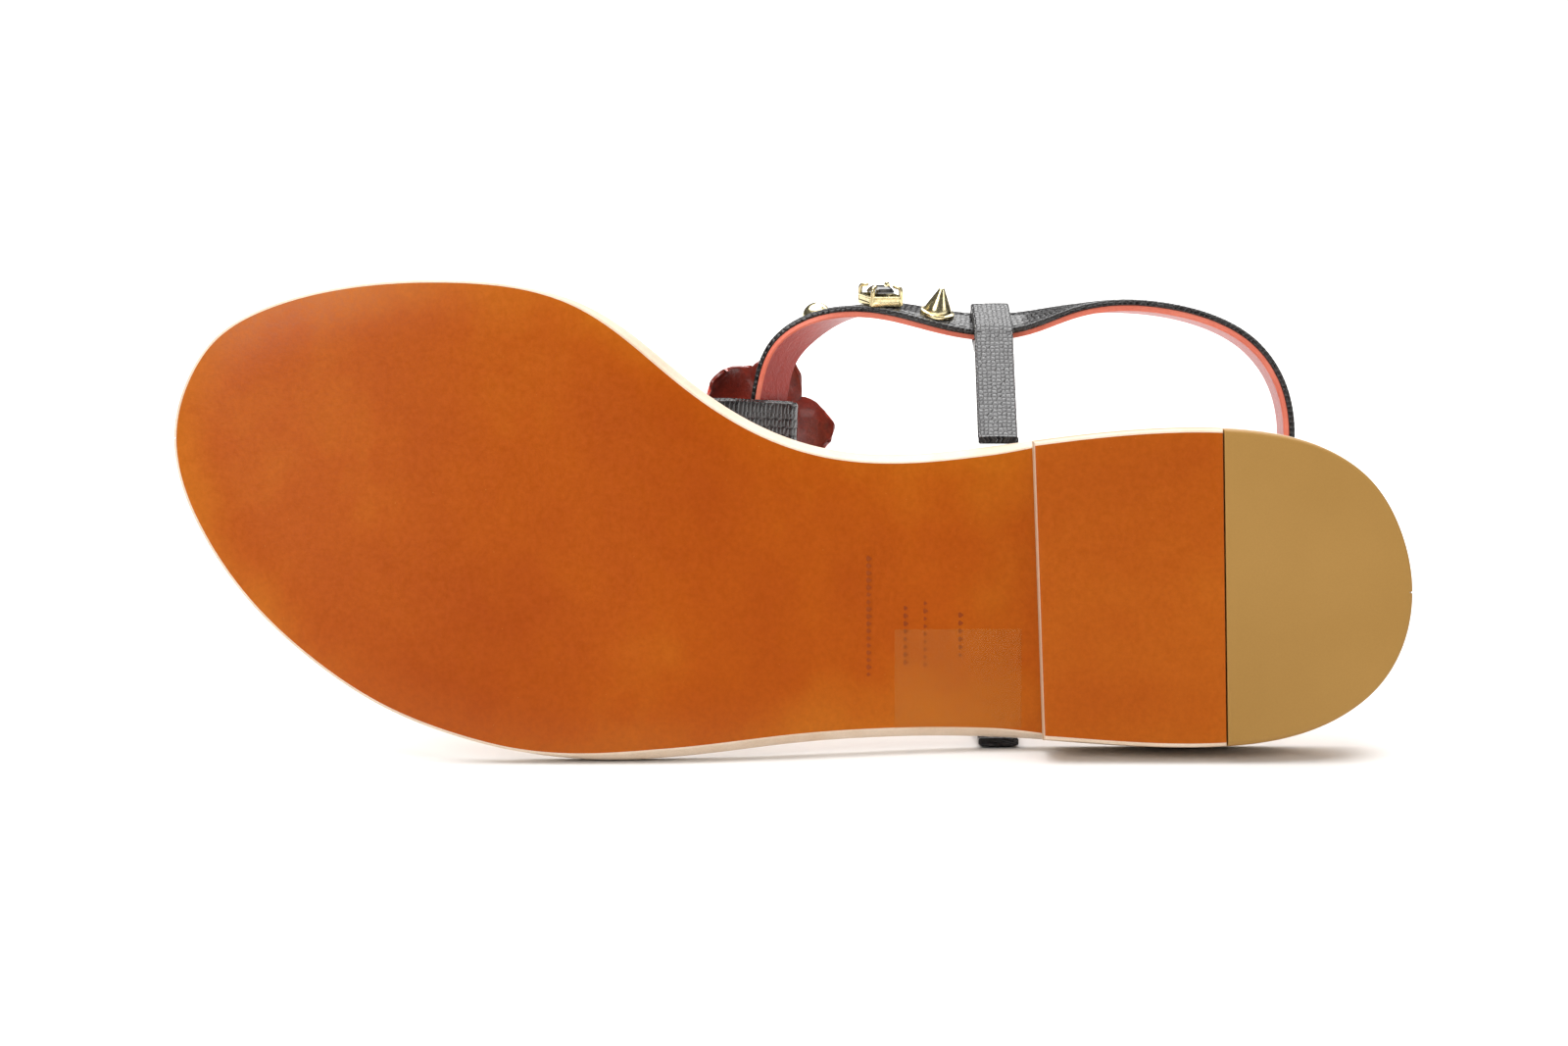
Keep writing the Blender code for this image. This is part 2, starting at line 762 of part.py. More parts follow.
def turned(name, profile, collection, finish=None, steps=24):
    """A solid of revolution about z, from a profile of radius and height, top to bottom."""
    bm = bmesh.new()
    points = list(profile)
    if points[0][0] > 0:
        points.insert(0, (0, points[0][1]))
    if points[-1][0] > 0:
        points.append((0, points[-1][1]))
    verts = [bm.verts.new((radius, 0, height)) for radius, height in points]
    for one, other in zip(verts, verts[1:]):
        bm.edges.new((one, other))
    mesh = bpy.data.meshes.new(name)
    bm.to_mesh(mesh)
    bm.free()
    obj = bpy.data.objects.new(name, mesh)
    collection.objects.link(obj)
    if finish:
        mesh.materials.append(material(finish))
    screw = obj.modifiers.new("turn", "SCREW")
    screw.steps = screw.render_steps = steps
    screw.use_merge_vertices = True
    screw.merge_threshold = 0.00001
    screw.use_smooth_shade = False
    return obj


def place(obj, frame, along=0.0, wide=0.0, out=0.0, turn=0.0):
    """Stands an object on a strap: its z is the strap's outer side, turned about it in degrees."""
    axes = Matrix((frame.along, frame.wide, frame.out)).transposed()
    if axes.determinant() < 0:
        axes = Matrix((-frame.along, frame.wide, frame.out)).transposed()
    axes = axes @ Matrix.Rotation(math.radians(turn), 3, "Z")
    obj.location = frame.point(along, wide, out)
    obj.rotation_euler = axes.to_euler()


def wire(name, path, radius, collection, finish, closed=False):
    """A round wire along a path, as a mesh with welded caps."""
    data = bpy.data.curves.new(name, "CURVE")
    data.dimensions = "3D"
    data.bevel_depth = radius
    data.bevel_resolution = 2
    data.use_fill_caps = True
    line = data.splines.new("POLY")
    line.points.add(len(path) - 1)
    for target, point in zip(line.points, path):
        target.co = (*point, 1)
    line.use_cyclic_u = closed
    guide = bpy.data.objects.new(name + "_guide", data)
    collection.objects.link(guide)
    bpy.context.view_layer.update()
    evaluated = guide.evaluated_get(bpy.context.evaluated_depsgraph_get())
    mesh = bpy.data.meshes.new_from_object(evaluated)
    bpy.data.objects.remove(guide)
    bm = bmesh.new()
    bm.from_mesh(mesh)
    bmesh.ops.remove_doubles(bm, verts=bm.verts, dist=0.00001)
    return finish_mesh(bm, name, collection, finish)


def make_buckle(loop, buckle, collection):
    """Frame and prong. The hinge bar lies at the strap's start and the free end passes over it."""
    hinge = loop.frame(buckle)
    rear_distance = loop.length + buckle - BUCKLE_LENGTH
    rear = loop.frame(rear_distance)
    rear_out = tip_raise(loop, buckle, rear_distance) + STRAP_THICKNESS / 2 + SEAT_GAP + BUCKLE_WIRE
    half = STRAP_WIDTH / 2 + 2 * SEAT_GAP + BUCKLE_WIRE
    corners = [
        hinge.point(wide=half),
        hinge.point(wide=-half),
        rear.point(wide=-half, out=rear_out),
        rear.point(wide=half, out=rear_out),
    ]
    bend = 1.6 * BUCKLE_WIRE
    path = rounded_path(corners, bend, closed=True)
    wire("buckle_frame", path, BUCKLE_WIRE, collection, "brass", closed=True)

    above = STRAP_THICKNESS * 1.5 + 2 * SEAT_GAP + PRONG_WIRE
    over_rear = rear_out + BUCKLE_WIRE + SEAT_GAP + PRONG_WIRE
    path = rounded_path(
        [
            hinge.point(along=-PRONG_WIRE * 0.6, out=BUCKLE_WIRE + SEAT_GAP + PRONG_WIRE / 2),
            hinge.point(along=-PRONG_WIRE * 1.1, out=above + SEAT_GAP / 3),
            rear.point(out=over_rear),
            rear.point(along=-2 * BUCKLE_WIRE, out=over_rear - PRONG_WIRE / 2),
        ],
        1.4 * PRONG_WIRE,
    )
    wire("buckle_prong", path, PRONG_WIRE, collection, "brass")


def make_keeper(loop, buckle, collection):
    """A narrow leather loop round both layers of the strap."""
    hold = loop.frame(buckle + KEEPER_FROM_BUCKLE)
    low = -STRAP_THICKNESS / 2 - WRAP_GAP - KEEPER_THICKNESS / 2
    high = STRAP_THICKNESS * 1.5 + SEAT_GAP + WRAP_GAP + KEEPER_THICKNESS / 2
    half = STRAP_WIDTH / 2 + WRAP_GAP + KEEPER_THICKNESS / 2
    corners = [
        hold.point(wide=-half, out=low),
        hold.point(wide=half, out=low),
        hold.point(wide=half, out=high),
        hold.point(wide=-half, out=high),
    ]
    path = rounded_path(corners, KEEPER_THICKNESS, closed=True, pieces=3)
    rings = []
    count = len(path)
    for i, point in enumerate(path):
        along = (path[(i + 1) % count] - path[i - 1]).normalized()
        frame = Frame(point, along, hold.along, hold.along.cross(along))
        rings.append(section(frame, KEEPER_WIDTH, KEEPER_THICKNESS))
    return loft(rings, "strap_keeper", collection, "black_leather", cyclic=True)


def dome_profile():
    """Radius and height of the dome stud, from its top down."""
    steps = 5
    rows = []
    for i in range(1, steps + 1):
        angle = math.pi / 2 * i / steps
        rows.append((DOME_RADIUS * math.sin(angle), STUD_RIM + DOME_HEIGHT * math.cos(angle)))
    return [(0, STUD_RIM + DOME_HEIGHT), *rows, (DOME_RADIUS, 0)]


def spike_profile():
    """Radius and height of the cone spike, from its blunt tip down to its rim."""
    return [
        (0, SPIKE_HEIGHT),
        (SPIKE_TIP * 0.7, SPIKE_HEIGHT - SPIKE_TIP * 0.15),
        (SPIKE_TIP, SPIKE_HEIGHT - SPIKE_TIP * 0.6),
        (SPIKE_RADIUS * 0.84, 3 * STUD_RIM),
        (SPIKE_RADIUS, 2 * STUD_RIM),
        (SPIKE_RADIUS, 0),
    ]


def square_ring(side, corner, height):
    """The eight corners of a square with cut corners, at a height."""
    half, cut_at = side / 2, side / 2 - corner
    flat = ((half, cut_at), (cut_at, half), (-cut_at, half), (-half, cut_at),
            (-half, -cut_at), (-cut_at, -half), (cut_at, -half), (half, -cut_at))
    return [Vector((x, y, height)) for x, y in flat]


def make_stone(name, collection):
    """A square cut stone: pavilion, girdle, crown and table."""
    girdle = STONE_HEIGHT * 0.55
    side = STONE_SIDE - CLAW_WIRE
    rings = [
        square_ring(side * 0.35, side * 0.08, 0),
        square_ring(side, side * 0.14, girdle),
        square_ring(side, side * 0.14, girdle + STONE_HEIGHT * 0.1),
        square_ring(side * 0.66, side * 0.12, STONE_HEIGHT),
    ]
    return loft(rings, name, collection, "smoky_glass")


def claw_ring(side, height, corner_height=0.0, corner_lean=0.0):
    """A rounded square whose four corners may rise into claws and lean inwards."""
    ring = []
    steps = 32
    for i in range(steps):
        angle = 2 * math.pi * i / steps
        c, s = math.cos(angle), math.sin(angle)
        radius = side / 2 / (abs(c) ** 7 + abs(s) ** 7) ** (1 / 7)
        from_corner = abs(math.degrees(angle) % 90 - 45)
        claw = 1 - smooth_step(from_corner, 8, 22)
        radius -= corner_lean * claw
        ring.append(Vector((radius * c, radius * s, height + corner_height * claw)))
    return ring


def make_claw_setting(name, collection):
    """A cup round the stone whose wall rises into a claw at each corner."""
    wall = CLAW_WIRE * 0.8
    rail = CLAW_PLATE + CLAW_HEIGHT * 0.3
    inside = STONE_SIDE + 2 * SEAT_GAP
    outside = inside + 2 * wall
    claw = CLAW_HEIGHT - rail
    rings = [
        claw_ring(outside, 0),
        claw_ring(outside, rail * 0.7),
        claw_ring(outside, rail, claw * 0.72),
        claw_ring(outside, rail, claw, CLAW_WIRE),
        claw_ring(inside, rail, claw * 0.97, CLAW_WIRE * 1.05),
        claw_ring(inside, rail, claw * 0.6),
        claw_ring(inside * 0.8, CLAW_PLATE),
    ]
    return loft(rings, name, collection, "brass")


def make_ornaments(loop, collection):
    """A dome, a stone and a spike on each side of the strap."""
    face = STRAP_THICKNESS / 2 + SEAT_GAP
    run = loop.distance_at("medial", SOLE_LENGTH - TAB_FROM_HEEL)
    places = {ornament: share * run for ornament, share in ORNAMENT_PLACES.items()}
    for side, sign in (("medial", 1), ("lateral", -1)):
        dome = turned(f"dome_{side}", dome_profile(), collection, "brass")
        place(dome, loop.frame(sign * places["dome"]), out=face)
        spot = loop.frame(sign * places["stone"])
        setting = make_claw_setting(f"claw_setting_{side}", collection)
        place(setting, spot, out=face, turn=sign * STONE_TURN)
        stone = make_stone(f"stone_{side}", collection)
        place(stone, spot, out=face + CLAW_PLATE + SEAT_GAP, turn=sign * STONE_TURN)
        spike = turned(f"spike_{side}", spike_profile(), collection, "brass")
        place(spike, loop.frame(sign * places["spike"]), out=face)


def make_rose(loop, collection):
    """A rolled strip of leather whose edge opens into petals, on a round base."""
    fold = STRAP_THICKNESS / 2 + WRAP_GAP + INSTEP_THICKNESS
    seat = loop.frame(0).tilted(ROSE_SHIFT, fold, ROSE_TILT)
    base_out = SEAT_GAP
    base = turned(
        "rose_base",
        ((ROSE_BASE_RADIUS, ROSE_BASE_THICKNESS), (ROSE_BASE_RADIUS, 0)),
        collection,
        "black_leather",
    )
    place(base, seat, out=base_out)

    across_steps = 6
    turn_steps = 30
    total = round(ROSE_TURNS * turn_steps)
    bm = bmesh.new()
    grid = []
    for i in range(total + 1):
        angle = 2 * math.pi * i / turn_steps
        share = i / total
        opening = smooth_step(share, 0.05, 1.0)
        petal = abs(math.sin(angle * ROSE_PETALS_A_TURN / 2)) ** 0.6
        foot = ROSE_CORE + ROSE_PITCH * i / turn_steps
        flare = (ROSE_RADIUS - foot) * opening * (0.72 + 0.28 * petal)
        rim = ROSE_HEIGHT * (1 - 0.52 * opening) * (0.82 + 0.18 * petal)
        row = []
        for k in range(across_steps + 1):
            t = k / across_steps
            radius = foot + flare * t ** (1.2 + opening)
            height = rim * t ** (1 - 0.35 * opening)
            row.append(bm.verts.new((radius * math.cos(angle), radius * math.sin(angle), height)))
        grid.append(row)
    for one, other in zip(grid, grid[1:]):
        for k in range(across_steps):
            bm.faces.new((one[k], one[k + 1], other[k + 1], other[k]))
    rose = finish_mesh(bm, "rose", collection, "red_patent")
    shell = rose.modifiers.new("leather", "SOLIDIFY")
    shell.thickness = ROSE_LEATHER
    shell.offset = 0
    place(rose, seat, out=base_out + ROSE_BASE_THICKNESS + SEAT_GAP + ROSE_LEATHER / 2)
    return rose


# Laying the sandal on its side


def world_points(objects):
    """The corners of each evaluated object, in the standing sandal's frame."""
    bpy.context.view_layer.update()
    depsgraph = bpy.context.evaluated_depsgraph_get()
    found = {}
    for obj in objects:
        evaluated = obj.evaluated_get(depsgraph)
        mesh = evaluated.to_mesh()
        co = np.empty(len(mesh.vertices) * 3)
        mesh.vertices.foreach_get("co", co)
        evaluated.to_mesh_clear()
        matrix = np.array(evaluated.matrix_world)
        found[obj.name] = co.reshape(-1, 3) @ matrix[:3, :3].T + matrix[:3, 3]
    return found


def lying_rotation(lean, roll):
    """Lays the lateral side down, leans the sole back, and rolls it in its own plane."""
    return Matrix.Rotation(-math.pi / 2 - lean, 3, "X") @ Matrix.Rotation(roll, 3, "Z")


def lowest(points, lean, roll):
    down = np.array(lying_rotation(lean, roll))[2]
    return float((points @ down).min())


def zero_between(value, low, high):
    """Where a function that rises between two angles passes zero."""
    for _ in range(40):
        middle = (low + high) / 2
        if value(middle) > 0:
            high = middle
        else:
            low = middle
    return (low + high) / 2


def lay_on_side(objects):
    """Turns the sandal until its sole at the ball, its heel and its straps all touch the floor."""
    points = world_points(objects)
    sole_names = ("outsole", "insole", "heel_block", "top_piece_leather", "top_piece_rubber")
    sole = np.vstack([points[name] for name in sole_names])
    straps = np.vstack([p for name, p in points.items() if name not in sole_names])
    ball = sole[sole[:, 0] < SOLE_LENGTH * 0.5]
    heel = sole[sole[:, 0] > SOLE_LENGTH * 0.6]
    most = math.radians(40)

    def roll_for(lean):
        return zero_between(
            lambda roll: lowest(ball, lean, roll) - lowest(heel, lean, roll), -most, most
        )

    def gap(lean):
        roll = roll_for(lean)
        return lowest(sole, lean, roll) - lowest(straps, lean, roll)

    lean = zero_between(gap, -most, most)
    roll = roll_for(lean)
    rotation = lying_rotation(lean, roll)
    every = np.vstack(list(points.values())) @ np.array(rotation).T
    low, high = every.min(axis=0), every.max(axis=0)
    stand = bpy.data.objects.new("sandal_lying", None)
    bpy.context.scene.collection.objects.link(stand)
    stand.rotation_euler = rotation.to_euler()
    stand.location = (-(low[0] + high[0]) / 2, -(low[1] + high[1]) / 2, -low[2])
    return stand


def build():
    remove_everything()
    collection = new_collection("toe_post_sandal")
    cutters = new_collection("cutters")
    outline = SoleOutline()
    loop = AnkleLoop()
    buckle = loop.distance_at("lateral", SOLE_LENGTH - BUCKLE_FROM_HEEL)

    make_outsole(outline, collection)
    insole = make_insole(outline, collection)
    cut_insole(outline, insole, cutters)
    make_heel(outline, collection)
    make_ankle_strap(loop, buckle, collection, cutters)
    make_instep_strap(outline, loop, collection)
    for side in ("medial", "lateral"):
        make_side_tab(outline, loop, side, collection)
    make_buckle(loop, buckle, collection)
    make_keeper(loop, buckle, collection)
    make_ornaments(loop, collection)
    make_rose(loop, collection)

    stand = lay_on_side(list(collection.objects))
    for obj in list(collection.objects) + list(cutters.objects):
        if obj.parent is None:
            obj.parent = stand


build()
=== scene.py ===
import json
import math

import bmesh
import bpy
import numpy as np
from mathutils import Matrix, Vector


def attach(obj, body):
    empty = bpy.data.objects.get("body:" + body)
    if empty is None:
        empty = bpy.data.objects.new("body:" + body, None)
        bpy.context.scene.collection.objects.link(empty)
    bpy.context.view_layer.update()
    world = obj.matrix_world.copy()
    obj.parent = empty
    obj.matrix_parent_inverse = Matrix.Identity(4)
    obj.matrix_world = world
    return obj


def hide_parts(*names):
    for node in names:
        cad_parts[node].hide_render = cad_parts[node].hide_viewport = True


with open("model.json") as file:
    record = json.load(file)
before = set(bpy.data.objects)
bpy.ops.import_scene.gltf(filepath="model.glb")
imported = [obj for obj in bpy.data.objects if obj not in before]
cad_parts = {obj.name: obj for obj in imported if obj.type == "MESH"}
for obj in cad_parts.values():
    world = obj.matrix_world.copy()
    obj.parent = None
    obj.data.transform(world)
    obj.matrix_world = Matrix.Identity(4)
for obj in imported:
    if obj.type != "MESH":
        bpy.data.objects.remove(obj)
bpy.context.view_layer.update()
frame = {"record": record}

# Sizes are in millimetres on the standing sandal: x from toe to heel, y to the lateral side, z up.
# The sandal lies on its lateral side, so every point is turned and moved once, by onFloor.
lying = {"lean": 11.7877, "roll": 0.0644, "heelFaceAlong": 243.0}
heelFace = frame["record"]["mounts"][0]
turnDown = Matrix.Rotation(-math.pi / 2 - math.radians(lying["lean"]), 3, "X") @ Matrix.Rotation(
    math.radians(lying["roll"]), 3, "Z"
)
moveDown = Vector(heelFace["pos_m"]) - turnDown @ Vector((lying["heelFaceAlong"] / 1000, 0, 0))


def onFloor(points):
    points = np.asarray(points, float).reshape(-1, 3) / 1000
    return points @ np.array(turnDown).T + np.array(moveDown)


def smooth(value, low, high):
    t = np.clip((np.asarray(value, float) - low) / (high - low), 0, 1)
    return t * t * (3 - 2 * t)


def unit(v):
    v = np.asarray(v, float)
    return v / np.linalg.norm(v)


def addNode(tree, kind, inputs=None, **settings):
    made = tree.nodes.new(kind)
    for key, value in settings.items():
        setattr(made, key, value)
    for key, value in (inputs or {}).items():
        socket = made.inputs[key]
        if isinstance(value, bpy.types.NodeSocket):
            tree.links.new(value, socket)
        else:
            socket.default_value = value
    return made


def newMaterial(name, **sockets):
    made = bpy.data.materials.new(name)
    made.use_nodes = True
    tree = made.node_tree
    shader = tree.nodes["Principled BSDF"]
    for key, value in sockets.items():
        shader.inputs[key].default_value = value
    return made, tree, shader


def millimetres(tree):
    # object coordinates in millimetres
    place = addNode(tree, "ShaderNodeTexCoord").outputs["Object"]
    return addNode(tree, "ShaderNodeMapping", {"Vector": place, "Scale": (1000, 1000, 1000)}).outputs[0]


def strapPlace(tree, scale=(1, 1, 1)):
    # along and across the strap in millimetres
    place = addNode(tree, "ShaderNodeUVMap", uv_map="UVMap").outputs[0]
    return addNode(tree, "ShaderNodeMapping", {"Vector": place, "Scale": scale}).outputs[0]


def noiseOf(tree, vector, scale, detail=3.0, roughness=0.5, distortion=0.0):
    return addNode(
        tree, "ShaderNodeTexNoise",
        {"Vector": vector, "Scale": scale, "Detail": detail, "Roughness": roughness, "Distortion": distortion},
    ).outputs["Fac"]


def ramp(tree, fac, stops):
    made = addNode(tree, "ShaderNodeValToRGB", {"Fac": fac})
    elements = made.color_ramp.elements
    while len(elements) < len(stops):
        elements.new(0.5)
    for element, (place, colour) in zip(elements, stops):
        element.position = place
        element.color = (*colour, 1)
    return made.outputs["Color"]


def spread(tree, value, low, high, toLow=0.0, toHigh=1.0):
    return addNode(
        tree, "ShaderNodeMapRange",
        {"Value": value, "From Min": low, "From Max": high, "To Min": toLow, "To Max": toHigh},
    ).outputs["Result"]


def maths(tree, operation, one, other=0.0):
    return addNode(tree, "ShaderNodeMath", {0: one, 1: other}, operation=operation).outputs[0]


def mixColour(tree, fac, one, other, blend="MIX"):
    made = addNode(tree, "ShaderNodeMix", data_type="RGBA", blend_type=blend)
    for key, value in ((0, fac), (6, one), (7, other)):
        if isinstance(value, bpy.types.NodeSocket):
            tree.links.new(value, made.inputs[key])
        elif key == 0:
            made.inputs[key].default_value = value
        else:
            made.inputs[key].default_value = (*value, 1)
    return made.outputs[2]


def cellsOf(tree, vector, scale, feature="F1"):
    cells = addNode(tree, "ShaderNodeTexVoronoi", {"Vector": vector, "Scale": scale}, feature=feature)
    return cells.outputs["Distance"]


def shade(tree, noise, toLow=0.0, toHigh=1.0):
    # the middle of a noise, where nearly all its values lie, stretched between two values
    return spread(tree, noise, 0.3, 0.7, toLow, toHigh)


def paint(tree, shader, colour, rough=None):
    tree.links.new(colour, shader.inputs["Base Color"])
    if rough:
        tree.links.new(rough, shader.inputs["Roughness"])


def bump(tree, shader, heights):
    # heights: socket, strength, distance in millimetres
    normal = None
    for socket, strength, distance in heights:
        inputs = {"Height": socket, "Strength": strength, "Distance": distance / 1000}
        if normal:
            inputs["Normal"] = normal
        normal = addNode(tree, "ShaderNodeBump", inputs).outputs["Normal"]
    tree.links.new(normal, shader.inputs["Normal"])


print("materials")


def burnishedLeather(name, dark, middle, pale, gloss):
    # hand-burnished vegetable tan: darker where it was rubbed most; paler toward the rim, partly the leather's own
    # lighter edge and partly painted reflection of the floor and painted sheen
    made, tree, shader = newMaterial(name, **{"Specular IOR Level": 0.22})
    place = millimetres(tree)
    clouds = noiseOf(tree, place, 0.017, 4, 0.55, 0.4)
    patches = noiseOf(tree, place, 0.085, 5, 0.6)
    mottle = noiseOf(tree, place, 0.9, 4, 0.7)
    tone = maths(tree, "ADD", maths(tree, "MULTIPLY", clouds, 0.75), maths(tree, "MULTIPLY", patches, 0.25))
    rim = addNode(tree, "ShaderNodeAttribute", attribute_name="fromRim").outputs["Fac"]
    # paler within the rim band: the leather's lighter edge together with painted reflection of the floor and
    # painted sheen
    tone = maths(tree, "ADD", tone, spread(tree, rim, 0.0, 1.0, 0.16, 0.0))
    colour = ramp(tree, tone, ((0.32, dark), (0.52, middle), (0.76, pale)))
    speck = spread(tree, mottle, 0.35, 0.65, 0.93, 1.06)
    colour = mixColour(tree, 1.0, colour, speck, "MULTIPLY")
    pores = cellsOf(tree, place, 0.30)
    dust = spread(tree, pores, 0.020, 0.035, 0.35, 0.0)
    colour = mixColour(tree, dust, colour, (0.60, 0.26, 0.06))
    paint(tree, shader, colour, shade(tree, mottle, gloss - 0.05, gloss + 0.07))
    pebble = cellsOf(tree, place, 1.5, "SMOOTH_F1")
    grain = noiseOf(tree, place, 2.6, 5, 0.65)
    bump(tree, shader, ((pebble, 0.30, 0.05), (grain, 0.35, 0.04)))
    return made


def plainLeather(name, colour, deep, gloss, grainScale=2.2, relief=0.05, wrinkle=0.0, sheen=0.25):
    made, tree, shader = newMaterial(name, **{"Specular IOR Level": sheen})
    place = millimetres(tree)
    clouds = noiseOf(tree, place, 0.09, 4, 0.6)
    fine = noiseOf(tree, place, grainScale, 5, 0.65)
    base = mixColour(tree, shade(tree, clouds), colour, deep)
    base = mixColour(tree, 1.0, base, shade(tree, fine, 0.92, 1.06), "MULTIPLY")
    paint(tree, shader, base, shade(tree, fine, gloss - 0.05, gloss + 0.08))
    heights = [(fine, 0.4, relief)]
    if wrinkle:
        folds = noiseOf(tree, place, 0.55, 3, 0.6, 1.2)
        heights.append((folds, 0.5, wrinkle))
    bump(tree, shader, heights)
    return made


def layeredEdge(name, colour, line, pitch):
    # stacked leather seen from the side: thin darker lines between the lifts
    made, tree, shader = newMaterial(name, **{"Specular IOR Level": 0.3, "Roughness": 0.5})
    place = millimetres(tree)
    depth = addNode(
        tree, "ShaderNodeVectorMath", {0: place, 1: heelFace["axis"]}, operation="DOT_PRODUCT"
    ).outputs["Value"]
    wobble = noiseOf(tree, place, 0.3, 2)
    depth = maths(tree, "ADD", depth, maths(tree, "MULTIPLY", wobble, 0.25))
    lift = maths(tree, "FRACT", maths(tree, "DIVIDE", depth, pitch))
    gap = spread(tree, maths(tree, "ABSOLUTE", maths(tree, "SUBTRACT", lift, 0.5)), 0.0, 0.09, 1.0, 0.0)
    fibre = noiseOf(tree, place, 1.6, 5, 0.7)
    base = mixColour(tree, shade(tree, fibre), colour, [c * 0.82 for c in colour])
    base = mixColour(tree, maths(tree, "MULTIPLY", gap, 0.55), base, line)
    paint(tree, shader, base)
    bump(tree, shader, ((fibre, 0.35, 0.05), (gap, -0.5, 0.08)))
    return made


def lizardLeather(name):
    made, tree, shader = newMaterial(
        name, **{"Specular IOR Level": 0.55, "Coat Weight": 0.35, "Coat Roughness": 0.12}
    )
    rows = strapPlace(tree, (0.80, 1.02, 1))
    scales = {"Vector": rows, "Scale": 1.0, "Randomness": 0.42}
    edges, cells = (
        addNode(tree, "ShaderNodeTexVoronoi", scales, feature=feature, voronoi_dimensions="2D")
        for feature in ("DISTANCE_TO_EDGE", "F1")
    )
    edges = edges.outputs["Distance"]
    tint = addNode(tree, "ShaderNodeSeparateColor", {"Color": cells.outputs["Color"]}).outputs[0]
    groove = spread(tree, edges, 0.0, 0.13)
    dome = maths(tree, "SQRT", spread(tree, edges, 0.0, 0.36))
    fine = noiseOf(tree, strapPlace(tree), 4.0, 4, 0.6)
    scale = mixColour(tree, tint, (0.0035, 0.0028, 0.0032), (0.012, 0.010, 0.011))
    colour = mixColour(tree, groove, (0.020, 0.016, 0.017), scale)
    paint(tree, shader, colour, spread(tree, tint, 0.0, 1.0, 0.20, 0.36))
    tilt = maths(tree, "MULTIPLY", tint, dome)
    bump(tree, shader, ((dome, 0.85, 0.22), (tilt, 0.35, 0.12), (fine, 0.25, 0.02)))
    return made


def patentLeather(name, bright, deep, coat):
    made, tree, shader = newMaterial(
        name, **{"Specular IOR Level": 0.5, "Coat Weight": coat, "Coat Roughness": 0.04, "Roughness": 0.3}
    )
    place = millimetres(tree)
    clouds = noiseOf(tree, place, 0.35, 4, 0.6)
    creaseAndShade = noiseOf(tree, place, 0.8, 4, 0.6, 1.5)
    base = mixColour(tree, shade(tree, clouds), bright, deep)
    # darker on one side of each crease line: painted shade of the folds
    base = mixColour(tree, spread(tree, creaseAndShade, 0.46, 0.54, 0.0, 0.28), base, [c * 0.45 for c in deep])
    paint(tree, shader, base)
    bump(tree, shader, ((creaseAndShade, 0.45, 0.25), (noiseOf(tree, place, 3.0, 4, 0.6), 0.25, 0.03)))
    return made


def castBrass(name):
    made, tree, shader = newMaterial(name, Metallic=1.0)
    place = millimetres(tree)
    fine = noiseOf(tree, place, 1.8, 4, 0.6)
    tarnish = noiseOf(tree, place, 0.5, 4, 0.6)
    base = mixColour(tree, spread(tree, tarnish, 0.42, 0.72, 0.0, 0.7), (0.86, 0.76, 0.46), (0.50, 0.38, 0.17))
    paint(tree, shader, base, shade(tree, fine, 0.14, 0.30))
    bump(tree, shader, ((fine, 0.2, 0.02),))
    return made


def cutStone(name):
    made, tree, shader = newMaterial(
        name, **{"Specular IOR Level": 0.9, "Coat Weight": 1.0, "Coat Roughness": 0.02, "IOR": 1.6}
    )
    place = millimetres(tree)
    inner = noiseOf(tree, place, 0.5, 3, 0.6)
    base = ramp(tree, inner, (
        (0.35, (0.010, 0.010, 0.011)), (0.55, (0.055, 0.052, 0.050)), (0.75, (0.16, 0.14, 0.12)),
    ))
    paint(tree, shader, base, shade(tree, inner, 0.03, 0.10))
    return made


def waxedThread(name, colour):
    made, tree, shader = newMaterial(name, **{"Specular IOR Level": 0.6, "Sheen Weight": 0.2})
    place = millimetres(tree)
    strands = addNode(
        tree, "ShaderNodeTexWave", {"Vector": place, "Scale": 1.4, "Distortion": 1.5}, bands_direction="DIAGONAL"
    ).outputs["Fac"]
    base = mixColour(tree, strands, colour, [min(1, c * 1.9 + 0.01) for c in colour])
    paint(tree, shader, base, spread(tree, strands, 0, 1, 0.38, 0.5))
    bump(tree, shader, ((strands, 0.5, 0.04),))
    return made


def softRubber(name):
    made, tree, shader = newMaterial(name, **{"Specular IOR Level": 0.3})
    place = millimetres(tree)
    clouds = noiseOf(tree, place, 0.03, 3, 0.5)
    fine = noiseOf(tree, place, 3.0, 3, 0.6)
    base = mixColour(tree, shade(tree, clouds), (0.375, 0.205, 0.050), (0.345, 0.185, 0.042))
    base = mixColour(tree, 1.0, base, shade(tree, fine, 0.97, 1.03), "MULTIPLY")
    pits = cellsOf(tree, place, 0.11)
    base = mixColour(tree, spread(tree, pits, 0.012, 0.022, 0.6, 0.0), base, (0.70, 0.55, 0.32))
    paint(tree, shader, base, shade(tree, fine, 0.48, 0.56))
    bump(tree, shader, ((fine, 0.25, 0.02),))
    return made


def clearFilm(name):
    made, tree, shader = newMaterial(name, **{"Base Color": (0.62, 0.30, 0.08, 1), "Alpha": 0.07})
    place = millimetres(tree)
    ripple = noiseOf(tree, place, 0.25, 3, 0.5)
    tree.links.new(shade(tree, ripple, 0.10, 0.22), shader.inputs["Roughness"])
    bump(tree, shader, ((ripple, 0.3, 0.2),))
    return made


